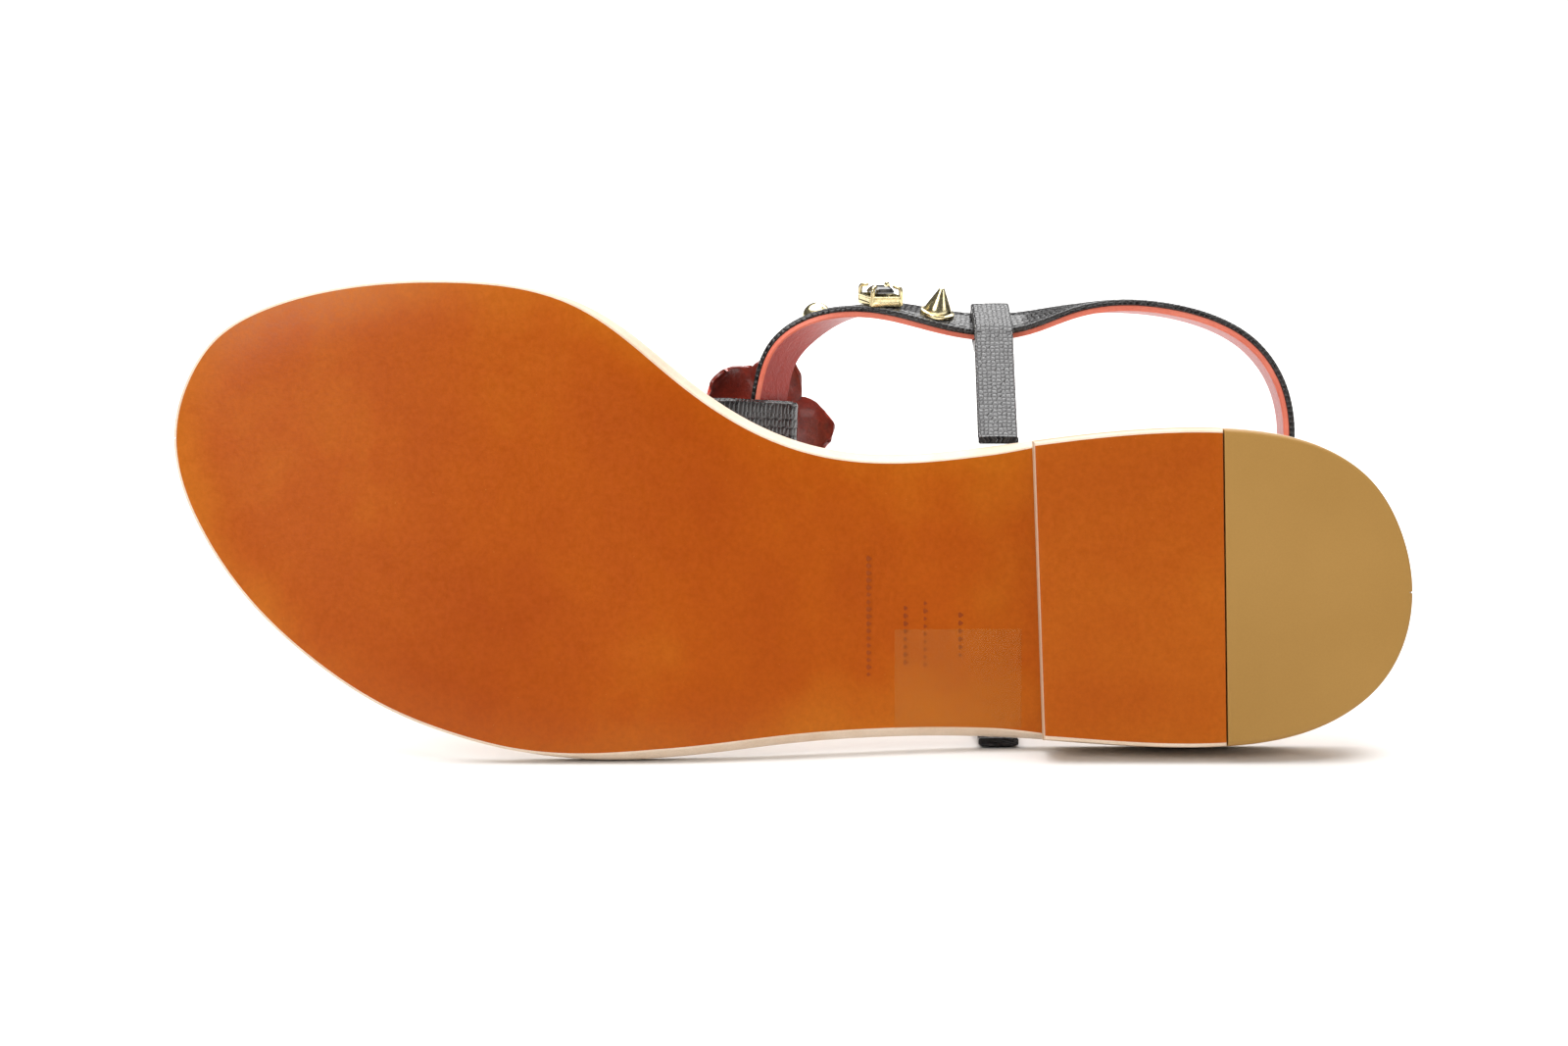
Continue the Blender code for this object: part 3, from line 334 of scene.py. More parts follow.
soleTan = burnishedLeather(
    "burnishedSole", (0.350, 0.056, 0.0008), (0.400, 0.074, 0.001), (0.470, 0.120, 0.004), 0.34
)
heelTan = burnishedLeather(
    "burnishedHeel", (0.350, 0.062, 0.001), (0.385, 0.076, 0.001), (0.430, 0.100, 0.003), 0.38
)
creamEdge = plainLeather("creamEdge", (0.80, 0.66, 0.52), (0.70, 0.53, 0.38), 0.42)
stackedLeather = layeredEdge("stackedLeather", (0.66, 0.47, 0.30), (0.20, 0.09, 0.03), 2.1)
naturalInsole = plainLeather("naturalInsole", (0.60, 0.40, 0.25), (0.54, 0.34, 0.20), 0.45, 2.0, 0.06)
tanRubber = softRubber("tanRubber")
blackLizard = lizardLeather("blackLizard")
redLining = plainLeather("redLining", (0.46, 0.026, 0.008), (0.36, 0.016, 0.005), 0.34, 1.7, 0.10, 0.35, 0.5)
coralEdge = plainLeather("coralEdge", (0.86, 0.26, 0.18), (0.72, 0.16, 0.10), 0.5, 2.4)
redPatent = patentLeather("redPatent", (0.78, 0.070, 0.018), (0.55, 0.030, 0.010), 1.0)
# the petals' backs: a duller copy of the patent leather with less coat, its colour darkened as painted shade
petalBackShaded = patentLeather("redPatentBackShaded", (0.30, 0.030, 0.014), (0.17, 0.018, 0.010), 0.25)
paleBrass = castBrass("paleBrass")
smokyStone = cutStone("smokyStone")
blackThread = waxedThread("blackThread", (0.012, 0.010, 0.011))
stickerFilm = clearFilm("stickerFilm")
stampedLeather = plainLeather("stampedLeather", (0.30, 0.055, 0.003), (0.24, 0.040, 0.002), 0.4)


def newObject(name, data):
    made = bpy.data.objects.new(name, data)
    bpy.context.scene.collection.objects.link(made)
    return made


def addPiece(name, points, faces, materials, replaced=(), slots=None, uvs=None, sharp=40, rim=None):
    mesh = bpy.data.meshes.new(name)
    mesh.from_pydata(onFloor(points).tolist(), [], faces)
    if rim is not None:
        mesh.attributes.new("fromRim", "FLOAT", "POINT").data.foreach_set("value", np.clip(rim, 0, 1))
    if uvs is not None:
        layer = mesh.uv_layers.new(name="UVMap")
        layer.data.foreach_set("uv", np.asarray(uvs, float).ravel())
    for material in materials:
        mesh.materials.append(material)
    if slots is not None:
        mesh.polygons.foreach_set("material_index", slots)
    bm = bmesh.new()
    bm.from_mesh(mesh)
    bmesh.ops.recalc_face_normals(bm, faces=bm.faces)
    bm.to_mesh(mesh)
    bm.free()
    if sharp:
        mesh.shade_smooth()
        mesh.set_sharp_from_angle(angle=math.radians(sharp))
    made = newObject(name, mesh)
    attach(made, "root")
    if replaced:
        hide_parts(*replaced)
    return made


def loftOf(rings, alongs, arounds, capped=True, closedAlong=False):
    # points, faces and corner coordinates of a tube through rings of equal length
    rings = np.asarray(rings, float)
    count, size = rings.shape[:2]
    faces, uvs = [], []
    last = count if closedAlong else count - 1
    for i in range(last):
        k = (i + 1) % count
        for j in range(size):
            n = (j + 1) % size
            faces.append((i * size + j, i * size + n, k * size + n, k * size + j))
            uvs += [(alongs[i], arounds[j]), (alongs[i], arounds[j + 1]),
                    (alongs[i + 1], arounds[j + 1]), (alongs[i + 1], arounds[j])]
    if capped and not closedAlong:
        for i in (0, count - 1):
            faces.append(tuple(i * size + j for j in range(size)))
            uvs += [(alongs[i], arounds[j]) for j in range(size)]
    return rings.reshape(-1, 3), faces, uvs


def lengthsOf(points):
    steps = np.linalg.norm(np.diff(np.asarray(points, float), axis=0), axis=1)
    return np.concatenate([[0], np.cumsum(steps)])


class SmoothLine:
    # a natural cubic through rows, by distance along the chords of their first columns
    def __init__(self, rows, closed):
        points = np.array(rows, float)
        if closed:
            points = np.vstack([points, points[:1]])
        self.points, self.closed = points, closed
        spans = np.linalg.norm(np.diff(points[:, :3], axis=0), axis=1)
        self.knots = np.concatenate([[0], np.cumsum(spans)])
        self.length = self.knots[-1]
        count = len(points)
        chords = np.diff(points, axis=0) / spans[:, None]
        matrix, known = np.zeros((count, count)), np.zeros_like(points)
        for i in range(1, count - 1):
            a, b = 1 / spans[i - 1], 1 / spans[i]
            matrix[i, i - 1 : i + 2] = a, 2 * (a + b), b
            known[i] = 3 * (chords[i - 1] * a + chords[i] * b)
        if closed:
            a, b = 1 / spans[-1], 1 / spans[0]
            matrix[0, [count - 2, 0, 1]] = a, 2 * (a + b), b
            known[0] = 3 * (chords[-1] * a + chords[0] * b)
            matrix[-1, 0], matrix[-1, -1] = 1, -1
        else:
            matrix[0, :2], matrix[-1, -2:] = (2, 1), (1, 2)
            known[0], known[-1] = 3 * chords[0], 3 * chords[-1]
        self.slopes = np.linalg.solve(matrix, known)

    def at(self, distance):
        distance = np.atleast_1d(np.asarray(distance, float))
        if self.closed:
            distance = np.mod(distance, self.length)
        i = np.clip(np.searchsorted(self.knots, distance, side="right") - 1, 0, len(self.knots) - 2)
        span = (self.knots[i + 1] - self.knots[i])[:, None]
        t = (distance - self.knots[i])[:, None] / span
        return (
            (2 * t**3 - 3 * t**2 + 1) * self.points[i] + (t**3 - 2 * t**2 + t) * span * self.slopes[i]
            + (3 * t**2 - 2 * t**3) * self.points[i + 1] + (t**3 - t**2) * span * self.slopes[i + 1]
        )


sole = {
    "length": 262.0, "width": 101.0, "outsole": 3.4, "gap": 0.3, "insole": 2.6,
    "toeSpring": 7.0, "springLength": 72.0, "tread": 26.0, "heelHeight": 10.0, "heelLength": 79.1,
    "waistBevel": 1.4, "edgeRadius": 0.55, "rimRoll": 0.9, "rimRollWidth": 13.0,
    "stations": 230, "columns": 45,
    # shares of length and width, from the toe tip along the medial side and back along the lateral
    "outline": (
        (0.000, -0.325), (0.010, -0.430), (0.034, -0.522), (0.080, -0.589), (0.142, -0.628), (0.212, -0.640),
        (0.273, -0.630), (0.325, -0.597), (0.372, -0.525), (0.414, -0.436), (0.452, -0.367), (0.494, -0.314),
        (0.540, -0.284), (0.592, -0.278), (0.660, -0.295), (0.745, -0.323), (0.826, -0.335), (0.884, -0.325),
        (0.931, -0.291), (0.968, -0.222), (0.991, -0.118), (1.000, 0.000), (0.994, 0.112), (0.976, 0.200),
        (0.944, 0.271), (0.899, 0.318), (0.849, 0.336), (0.790, 0.337), (0.707, 0.323), (0.635, 0.314),
        (0.565, 0.316), (0.500, 0.327), (0.440, 0.345), (0.384, 0.358), (0.334, 0.359), (0.287, 0.346),
        (0.228, 0.309), (0.170, 0.249), (0.112, 0.151), (0.060, 0.025), (0.022, -0.118), (0.004, -0.232),
    ),
}
heel = {
    "skew": 2.2, "taper": 0.6, "topPiece": 3.5, "rubberLength": 39.9, "rubberSkew": 0.8,
    "rim": 0.7, "rawRim": 0.28,
}


class Outline:
    def __init__(self):
        rows = [(a * sole["length"], b * sole["width"]) for a, b in sole["outline"]]
        curve = SmoothLine(rows, True)
        points = curve.at(np.linspace(0, curve.length, 2400, endpoint=False))
        points = np.roll(points, -int(points[:, 0].argmin()), axis=0)
        tangent = np.roll(points, -1, axis=0) - np.roll(points, 1, axis=0)
        tangent /= np.linalg.norm(tangent, axis=1)[:, None]
        normals = np.column_stack([tangent[:, 1], -tangent[:, 0]])
        back = int(points[:, 0].argmax())
        around = {-1: np.arange(back + 1), 1: np.arange(len(points), back - 1, -1) % len(points)}
        self.sides = {side: (points[order], normals[order]) for side, order in around.items()}
        self.points = points
        self.toe, self.heel = points[0, 0], points[back, 0]

    def edge(self, side, x, offset=0.0):
        points, normals = self.sides[side]
        place = np.interp(x, points[:, 0], np.arange(len(points)))
        i = np.minimum(place.astype(int), len(points) - 2)
        t = (place - i)[:, None]
        normal = normals[i] * (1 - t) + normals[i + 1] * t
        normal /= np.linalg.norm(normal, axis=1)[:, None]
        return points[i] * (1 - t) + points[i + 1] * t + normal * np.asarray(offset)[..., None]

    def depth(self, xy):
        # how far points lie inside the outline
        ring = self.points[::4]
        return np.array([np.sqrt(((ring - p) ** 2).sum(1).min()) for p in xy])


outline = Outline()


def bottomHeight(x):
    x = np.asarray(x, float)
    spring = sole["toeSpring"] * np.clip(1 - x / sole["springLength"], 0, 1) ** 2
    rise = smooth(x, sole["springLength"] + sole["tread"], sole["length"] - sole["heelLength"])
    return spring + sole["heelHeight"] * rise


def lowerEdge(x):
    share = np.asarray(x, float) / sole["length"]
    return -sole["waistBevel"] * smooth(share, 0.26, 0.40) * (1 - smooth(share, 0.66, 0.76))


def rimRise(x, depth):
    most = sole["rimRoll"] * (1 - 0.65 * smooth(x, 95, 150))
    return most * np.clip(1 - depth / sole["rimRollWidth"], 0, 1) ** 2


def slab(pairs, low, high, lowOffset, highOffset, columns, rimLow, rimHigh, endLift=None, rolled=False):
    # a sole piece as sections across it: face below, walls with rounded rims, face above
    pairs = np.asarray(pairs, float)
    lift = np.zeros(len(pairs)) if endLift is None else np.asarray(endLift, float)
    share = 0.5 - 0.5 * np.cos(np.linspace(0, math.pi, columns))

    def row(side, offset, height, lifted=0.0):
        x = pairs[:, 0 if side < 0 else 1]
        return np.column_stack([outline.edge(side, x, offset(x)), height(x) + lift * lifted])

    arc = [math.radians(a) for a in (22.5, 45, 67.5)]
    rows, kinds = [], []
    medial = row(-1, lambda x: lowOffset(x) - rimLow, low, 1)
    lateral = row(1, lambda x: lowOffset(x) - rimLow, low, 1)
    for s in share:
        rows.append(medial * (1 - s) + lateral * s)
        kinds.append(0)
    if rolled:
        for points in rows:
            points[:, 2] += rimRise(points[:, 0], outline.depth(points[:, :2]))
    edgeRise = [p[:, 2].copy() for p in (rows[0], rows[-1])]
    for side, rise in ((1, edgeRise[1]), (-1, edgeRise[0])):
        wall = [
            (lambda x, a=a: lowOffset(x) - rimLow * (1 - math.sin(a)),
             lambda x, a=a: rise + rimLow * (1 - math.cos(a)))
            for a in arc + [math.pi / 2]
        ]
        wall.append((lambda x: (lowOffset(x) + highOffset(x)) / 2, lambda x: (rise + high(x)) / 2))
        wall += [
            (lambda x, a=a: highOffset(x) - rimHigh * (1 - math.cos(a)),
             lambda x, a=a: high(x) - rimHigh * (1 - math.sin(a)))
            for a in [0] + arc + [math.pi / 2]
        ]
        made = [row(side, offset, height) for offset, height in wall]
        if side > 0:
            rows += made
            kinds += [1] * len(made)
            upper = 9
            other = row(-1, lambda x: highOffset(x) - rimHigh, high)
            for s in np.linspace(0, 1, upper + 2)[1:-1]:
                rows.append(made[-1] * (1 - s) + other * s)
                kinds.append(2)
            kinds[-upper - 1] = 2
        else:
            rows += made[::-1]
            kinds += [2] + [1] * (len(made) - 1)
            kinds[-len(made)] = 1
    kinds[columns - 1] = 1
    rings = np.stack(rows, axis=1)
    count, size = rings.shape[:2]
    faces, slots = [], []
    for i in range(count - 1):
        for j in range(size):
            n = (j + 1) % size
            faces.append((i * size + j, i * size + n, (i + 1) * size + n, (i + 1) * size + j))
            slots.append(kinds[j])
    for i in (0, count - 1):
        faces.append(tuple(i * size + j for j in range(size)))
        slots.append(1)
    return rings.reshape(-1, 3), faces, slots


def roundStations(low, high, count, extra=()):
    # places along the sole, closer together toward both round ends
    steps = np.arange(count + 1) / count
    steps[0], steps[-1] = 0.25 / count, 1 - 0.25 / count
    x = low + (high - low) * (0.5 - 0.5 * np.cos(math.pi * steps))
    x = np.sort(np.concatenate([x, list(extra)]))
    return np.column_stack([x, x])


def flat(height):
    # a level face, or an edge moved by the same amount all along
    return lambda x: height + 0 * x


def outsoleTop(x):
    return bottomHeight(x) + sole["outsole"]


def insoleLow(x):
    return outsoleTop(x) + sole["gap"]


def insoleTop(x):
    return insoleLow(x) + sole["insole"]


def makeSole():
    pairs = roundStations(outline.toe, outline.heel, sole["stations"])
    points, faces, slots = slab(
        pairs, bottomHeight, outsoleTop, lowerEdge, flat(0.0),
        sole["columns"], sole["edgeRadius"], 0.2, rolled=True,
    )
    # depth from the rim, in a band that widens from the waist back; it pales the sole's colour there, partly as
    # painted reflection of the floor and painted sheen
    rim = outline.depth(points[:, :2]) / (9 + 8 * smooth(points[:, 0], 110, 150))
    addPiece("outsoleLeather", points, faces, [soleTan, creamEdge, creamEdge],
             ["outsole"], slots, rim=rim)

    tabX = sole["length"] - tab["fromHeel"]
    notch = tab["width"] / 2 + 0.35
    edges = (tabX - notch - 0.02, tabX - notch + 0.02, tabX + notch - 0.02, tabX + notch + 0.02)
    pairs = roundStations(outline.toe, outline.heel, sole["stations"], extra=edges)

    def notched(x):
        return np.where(np.abs(x - tabX) < notch, -tab["thickness"] - 0.25, 0.0)

    points, faces, slots = slab(pairs, insoleLow, insoleTop, notched, notched, 15, 0.2, 0.8)
    addPiece("insoleBoard", points, faces, [creamEdge, creamEdge, naturalInsole],
             ["insole"], slots)


def heelPairs(front, frontSkew, back=None, backSkew=0.0, rim=0.0, count=60):
    # stations from a slanting front line to another line or to the round back, and their lift at the rims
    quarter = np.radians([0, 22.5, 45, 67.5, 90])
    near = rim * (1 - np.cos(quarter))
    if back is None:
        shares = np.sin(np.linspace(0, math.pi / 2, count + 1))
        shares[-1] = math.sin(math.pi / 2 * (1 - 0.2 / count))
        far = []
    else:
        shares, far = np.linspace(0, 1, count + 1), near[::-1]
    pairs = []
    for sign in (-1, 1):
        low = front + sign * frontSkew / 2
        high = outline.heel if back is None else back + sign * backSkew / 2
        x = low + (high - low) * shares
        inside = x[(x > low + rim + 0.1) & (x < high - (rim + 0.1 if back is not None else 0))]
        pairs.append((low, high, inside))
    count = min(len(p[2]) for p in pairs)
    columns = [
        np.concatenate([low + near, inside[-count:], [high - f for f in far]]) for low, high, inside in pairs
    ]
    rounding = rim * (1 - np.sin(quarter))
    lift = np.zeros(len(columns[0]))
    lift[:5] = rounding
    if back is not None:
        lift[-5:] = rounding[::-1]
    return np.column_stack(columns), lift


def makeHeel():
    breast = sole["length"] - sole["heelLength"]
    rubberLine = sole["length"] - heel["rubberLength"]

    def taper(z):
        return flat(-heel["taper"] * (1 - z / sole["heelHeight"]))

    top = heel["topPiece"]
    seat = sole["heelHeight"] - sole["gap"]
    pairs = heelPairs(breast, heel["skew"], rim=0.02)[0]
    points, faces, slots = slab(
        pairs, flat(top + sole["gap"]), flat(seat), taper(top), taper(seat), 9, 0.25, 0.25,
    )
    addPiece("heelStack", points, faces, [stackedLeather], ["heel_block"])

    rim = heel["rim"]
    front, lift = heelPairs(
        breast, heel["skew"], rubberLine - sole["gap"] / 2, heel["rubberSkew"], rim=heel["rawRim"]
    )
    points, faces, slots = slab(
        front, flat(0.0), flat(top), taper(0), taper(top), 21, rim, 0.2, lift
    )
    # the top piece's colour pales toward its rim the same way, partly as painted reflection of the floor and
    # painted sheen
    addPiece("topPieceLeather", points, faces, [heelTan, creamEdge, creamEdge],
             ["top_piece_leather"], slots, rim=outline.depth(points[:, :2]) / 9)

    rear, lift = heelPairs(rubberLine + sole["gap"] / 2, heel["rubberSkew"], rim=0.15)
    points, faces, slots = slab(
        rear, flat(0.0), flat(top), taper(0), taper(top), 21, rim, 0.2, lift
    )
    addPiece("topPieceRubber", points, faces, [tanRubber], ["top_piece_rubber"])


strap = {
    "length": 116.2, "width": 80.7, "height": 70.0, "setback": 20.4, "offset": 21.15,
    "strapWidth": 10.0, "outer": 1.30, "lining": 1.28, "liningWidth": 9.5, "dome": 0.14,
    "stitchIn": 1.25, "step": 1.3, "seatGap": 0.3, "wrapGap": 0.7,
    # shares along, across and up, and the lean of the upper edge in degrees
    "loop": (
        (0.000, -0.173, 0.800, -42), (0.008, -0.274, 0.800, -41), (0.030, -0.371, 0.800, -36),
        (0.083, -0.441, 0.795, -22), (0.149, -0.480, 0.790, -3), (0.206, -0.488, 0.780, 9),
        (0.300, -0.466, 0.765, 19), (0.418, -0.441, 0.757, 25), (0.497, -0.454, 0.765, 20),
        (0.572, -0.483, 0.785, 8), (0.658, -0.500, 0.820, 0), (0.757, -0.492, 0.860, -2),
        (0.850, -0.459, 0.905, -3), (0.925, -0.399, 0.945, -4), (0.975, -0.310, 0.975, -4),
        (1.000, -0.181, 0.998, -4), (0.991, -0.037, 1.000, -4), (0.950, 0.117, 0.985, -5),
        (0.875, 0.284, 0.950, -6), (0.782, 0.413, 0.900, -6), (0.663, 0.482, 0.840, -6),
        (0.535, 0.500, 0.790, -6), (0.415, 0.479, 0.757, -6), (0.295, 0.424, 0.765, -8),
        (0.184, 0.338, 0.780, -14), (0.091, 0.210, 0.795, -26), (0.030, 0.055, 0.800, -37),
        (0.005, -0.068, 0.800, -41),
    ),
}
instep = {
    "width": 11.0, "thickness": 2.2, "postWidth": 6.0, "postThickness": 4.2, "postFromToe": 51.0,
    "postMedial": 27.0, "postRise": 5.5, "postPull": 18.0, "instepPull": 30.0, "foldTail": 6.0,
}
tab = {"width": 8.5, "thickness": 1.5, "fromHeel": 87.1, "tail": 6.0}
buckle = {
    "fromHeel": 52.0, "length": 9.5, "wire": 1.0, "prong": 0.7, "tip": 22.0, "tipRamp": 12.0,
    "keeperWidth": 4.0, "keeperThickness": 1.2, "keeperFrom": 11.0,
}
# each kind of stitch: spacing, length and thickness
stitch = {"strap": (2.3, 1.7, 0.24), "tab": (1.9, 1.4, 0.22), "uneven": 0.08, "seed": 7}
strapThickness = strap["outer"] + strap["lining"] + 0.02


class Place:
    # a spot on a strap: its centre, its run, its width and its outer side
    def __init__(self, centre, along, wide, out):
        self.centre, self.along, self.wide, self.out = (np.asarray(v, float) for v in (centre, along, wide, out))

    def point(self, along=0.0, wide=0.0, out=0.0):
        return self.centre + self.along * along + self.wide * wide + self.out * out

    def tilted(self, wide, out, degrees):
        c, s = math.cos(math.radians(degrees)), math.sin(math.radians(degrees))
        return Place(
            self.point(0, wide, out), self.along, self.wide * c - self.out * s, self.out * c + self.wide * s
        )


class AnkleLoop:
    def __init__(self):
        front = sole["length"] - strap["setback"] - strap["length"]
        rows = [
            (front + a * strap["length"], c * strap["width"] - strap["offset"], h * strap["height"],
             math.radians(lean))
            for a, c, h, lean in strap["loop"]
        ]
        self.line = SmoothLine(rows, True)
        self.length = self.line.length

    def at(self, distance):
        row = self.line.at(distance)[0]
        before, after = self.line.at([distance - 0.5, distance + 0.5])
        along = unit(after[:3] - before[:3])
        level = unit(np.cross(along, (0, 0, 1)))
        rise = np.cross(level, along)
        c, s = math.cos(row[3]), math.sin(row[3])
        return Place(row[:3], along, rise * c + level * s, level * c - rise * s)

    def distanceAt(self, side, x):
        places = np.linspace(0, self.length, 1200)
        points = self.line.at(places)
        furthest = int(points[:, 0].argmax())
        part = slice(0, furthest) if side < 0 else slice(furthest, None)
        return places[part][int(np.abs(points[part, 0] - x).argmin())]


loop = AnkleLoop()
hinge = loop.distanceAt(1, sole["length"] - buckle["fromHeel"])


def tipRaise(distance):
    raised = loop.length + hinge - strapThickness
    return (strapThickness + strap["seatGap"]) * float(smooth(distance, raised - buckle["tipRamp"], raised))


def roundedPath(corners, radius, closed=False, pieces=8):
    corners = [np.asarray(c, float) for c in corners]
    path = []
    for i, corner in enumerate(corners):
        if not closed and i in (0, len(corners) - 1):
            path.append(corner)
            continue
        back, ahead = corners[i - 1] - corner, corners[(i + 1) % len(corners)] - corner
        turn = math.pi - math.acos(np.clip(unit(back) @ unit(ahead), -1, 1))
        if turn < math.radians(2):
            path.append(corner)
            continue
        reach = min(radius * math.tan(turn / 2), np.linalg.norm(back) * 0.48, np.linalg.norm(ahead) * 0.48)
        centre = corner + unit(unit(back) + unit(ahead)) * reach / math.sin(turn / 2)
        one, other = corner + unit(back) * reach - centre, corner + unit(ahead) * reach - centre
        size = np.linalg.norm(one)
        for k in range(pieces + 1):
            t = k / pieces
            mixed = (one * math.sin((1 - t) * turn) + other * math.sin(t * turn)) / math.sin(turn)
            path.append(centre + unit(mixed) * size)
    return path


def evenPath(path, step):
    path = np.asarray(path, float)
    run = lengthsOf(path)
    keep = np.concatenate([[True], np.diff(run) > 1e-6])
    path, run = path[keep], run[keep]
    spots = np.linspace(0, run[-1], max(2, round(run[-1] / step)) + 1)
    return np.column_stack([np.interp(spots, run, path[:, k]) for k in range(3)])


def placesAlong(path, across):
    made = []
    for i, point in enumerate(path):
        along = unit(path[min(i + 1, len(path) - 1)] - path[max(i - 1, 0)])
        wide = np.asarray(across(i) if callable(across) else across, float)
        wide = unit(wide - along * (wide @ along))
        made.append(Place(point, along, wide, np.cross(wide, along)))
    return made


def bandSection(width, low, high, dome=0.0, groove=0.0, rim=0.5, lowRim=0.2, top=13):
    # a strap's section from one lower corner up, across the outer side and down again
    half = width / 2
    rim = min(rim, (high - low) * 0.6)
    lowRim = min(lowRim, (high - low) * 0.35)
    points = [(half - lowRim, low), (half, low + lowRim)]
    for a in (0, 30, 60):
        a = math.radians(a)
        points.append((half - rim + rim * math.cos(a), high - rim + rim * math.sin(a)))
    for k in range(top):
        w = (half - rim) * (1 - 2 * k / (top - 1))
        dip = groove * math.exp(-(((abs(w) - half + strap["stitchIn"]) / 0.32) ** 2))
        points.append((w, high + dome * (1 - (w / half) ** 2) - dip))
    for a in (60, 30, 0):
        a = math.radians(a)
        points.append((-half + rim - rim * math.cos(a), high - rim + rim * math.sin(a)))
    points += [(-half, low + lowRim), (lowRim - half, low)]
    points += [(half * s, low) for s in (-0.5, 0.0, 0.5)]
    return np.array(points)


def sweep(places, sections, capped=True, closedAlong=False):
    rings = [
        place.centre + section[:, :1] * place.wide + section[:, 1:] * place.out
        for place, section in zip(places, sections)
    ]
    centres = [p.centre for p in places]
    alongs = lengthsOf(centres + [centres[0]])
    around = lengthsOf(np.vstack([sections[0], sections[0][:1]]))
    return loftOf(rings, alongs, around, capped, closedAlong)


def tubeSection(radius, sides=12):
    angles = np.linspace(0, 2 * math.pi, sides, endpoint=False)
    return np.column_stack([np.cos(angles), np.sin(angles)]) * radius


def makeTube(name, path, radius, material, replaced=(), closed=False, sides=12, taper=None):
    path = [np.asarray(p, float) for p in path]
    count = len(path)
    places = []
    reference = unit(np.cross(path[1] - path[0], path[min(3, count - 1)] - path[0]) + np.array([1e-6, 2e-6, 3e-6]))
    for i in range(count):
        if closed:
            along = unit(path[(i + 1) % count] - path[i - 1])
        else:
            along = unit(path[min(i + 1, count - 1)] - path[max(i - 1, 0)])
        reference = unit(reference - along * (reference @ along))
        places.append(Place(path[i], along, reference, np.cross(reference, along)))
    sizes = [radius * (taper(i / (count - 1)) if taper else 1) for i in range(count)]
    points, faces, uvs = sweep(places, [tubeSection(s, sides) for s in sizes], True, closed)
    return addPiece(name, points, faces, [material], replaced, uvs=uvs, sharp=60)


def makeAnkleStrap():
    start = hinge + buckle["wire"] + strap["seatGap"]
    end = loop.length + hinge + buckle["tip"]
    count = round((end - start) / strap["step"])
    distances = np.linspace(start, end, count + 1)
    fine = end - np.array([0.1, 0.35, 0.7, 1.1, 1.6, 2.2, 2.9])
    distances = np.sort(np.concatenate([distances, fine]))
    width = strap["strapWidth"]
    tip = np.clip((end - distances) / (width * 0.62), 0, 1)
    widths = width * (0.22 + 0.78 * np.sqrt(1 - (1 - tip) ** 2.2))
    outer, lining, places = [], [], []
    for distance, wide in zip(distances, widths):
        place = loop.at(distance)
        raised = tipRaise(distance)
        places.append(Place(place.point(out=raised), place.along, place.wide, place.out))
        outer.append(bandSection(wide, 0.02, strap["outer"], strap["dome"], 0.13, 0.55, 0.15))
        lining.append(bandSection(
            wide - width + strap["liningWidth"], -strap["lining"], -0.02, 0, 0, 0.12, 0.3, 5)[::-1])
    points, faces, uvs = sweep(places, outer)
    addPiece("ankleStrapOuter", points, faces, [blackLizard], ["ankle_strap"], uvs=uvs)
    points, faces, uvs = sweep(places, lining)
    size = len(lining[0])
    half = strap["liningWidth"] / 2
    edge = [abs(0.5 * (lining[0][j][0] + lining[0][(j + 1) % size][0])) > half - 0.16 for j in range(size)]
    slots = [int(edge[j % size]) for j in range(len(faces) - 2)] + [1, 1]
    addPiece("ankleStrapLining", points, faces, [redLining, coralEdge], slots=slots, uvs=uvs)
    rows = []
    inner = width / 2 - strap["stitchIn"]
    for sign in (-1, 1):
        spots = np.arange(start + 1.5, end - 5, 1.2)
        rows.append([
            loop.at(d).point(wide=sign * inner, out=strap["outer"] + tipRaise(d) - 0.02) for d in spots
        ])
    addStitches("ankleStrapStitches", rows, "strap")
    makeStrapFold(start)


def makeStrapFold(start):
    # the strap's end turned round the hinge bar and stitched down inside
    place = loop.at(hinge)
    reach = buckle["wire"] + strap["seatGap"] + 0.55
    ahead = loop.at(start + 8)
    path = [place.point(along=1.2, out=1.35)]
    for angle in np.linspace(80, 260, 11):
        a = math.radians(angle)
        path.append(place.point(along=reach * math.cos(a), out=reach * math.sin(a)))
    path.append(loop.at(start + 1.6).point(out=-strapThickness / 2 - 0.55))
    path.append(loop.at(start + 4.5).point(out=-strapThickness / 2 - 0.42))
    path.append(ahead.point(out=-strapThickness / 2 - 0.40))
    path = evenPath(path, 0.6)
    places = placesAlong(path, lambda i: -place.wide)
    band = bandSection(strap["strapWidth"] - 0.6, -0.3, 0.3, 0.05, 0, 0.25, 0.15, 9)
    points, faces, uvs = sweep(places, [band] * len(places))
    addPiece("strapEndFold", points, faces, [blackLizard], uvs=uvs)


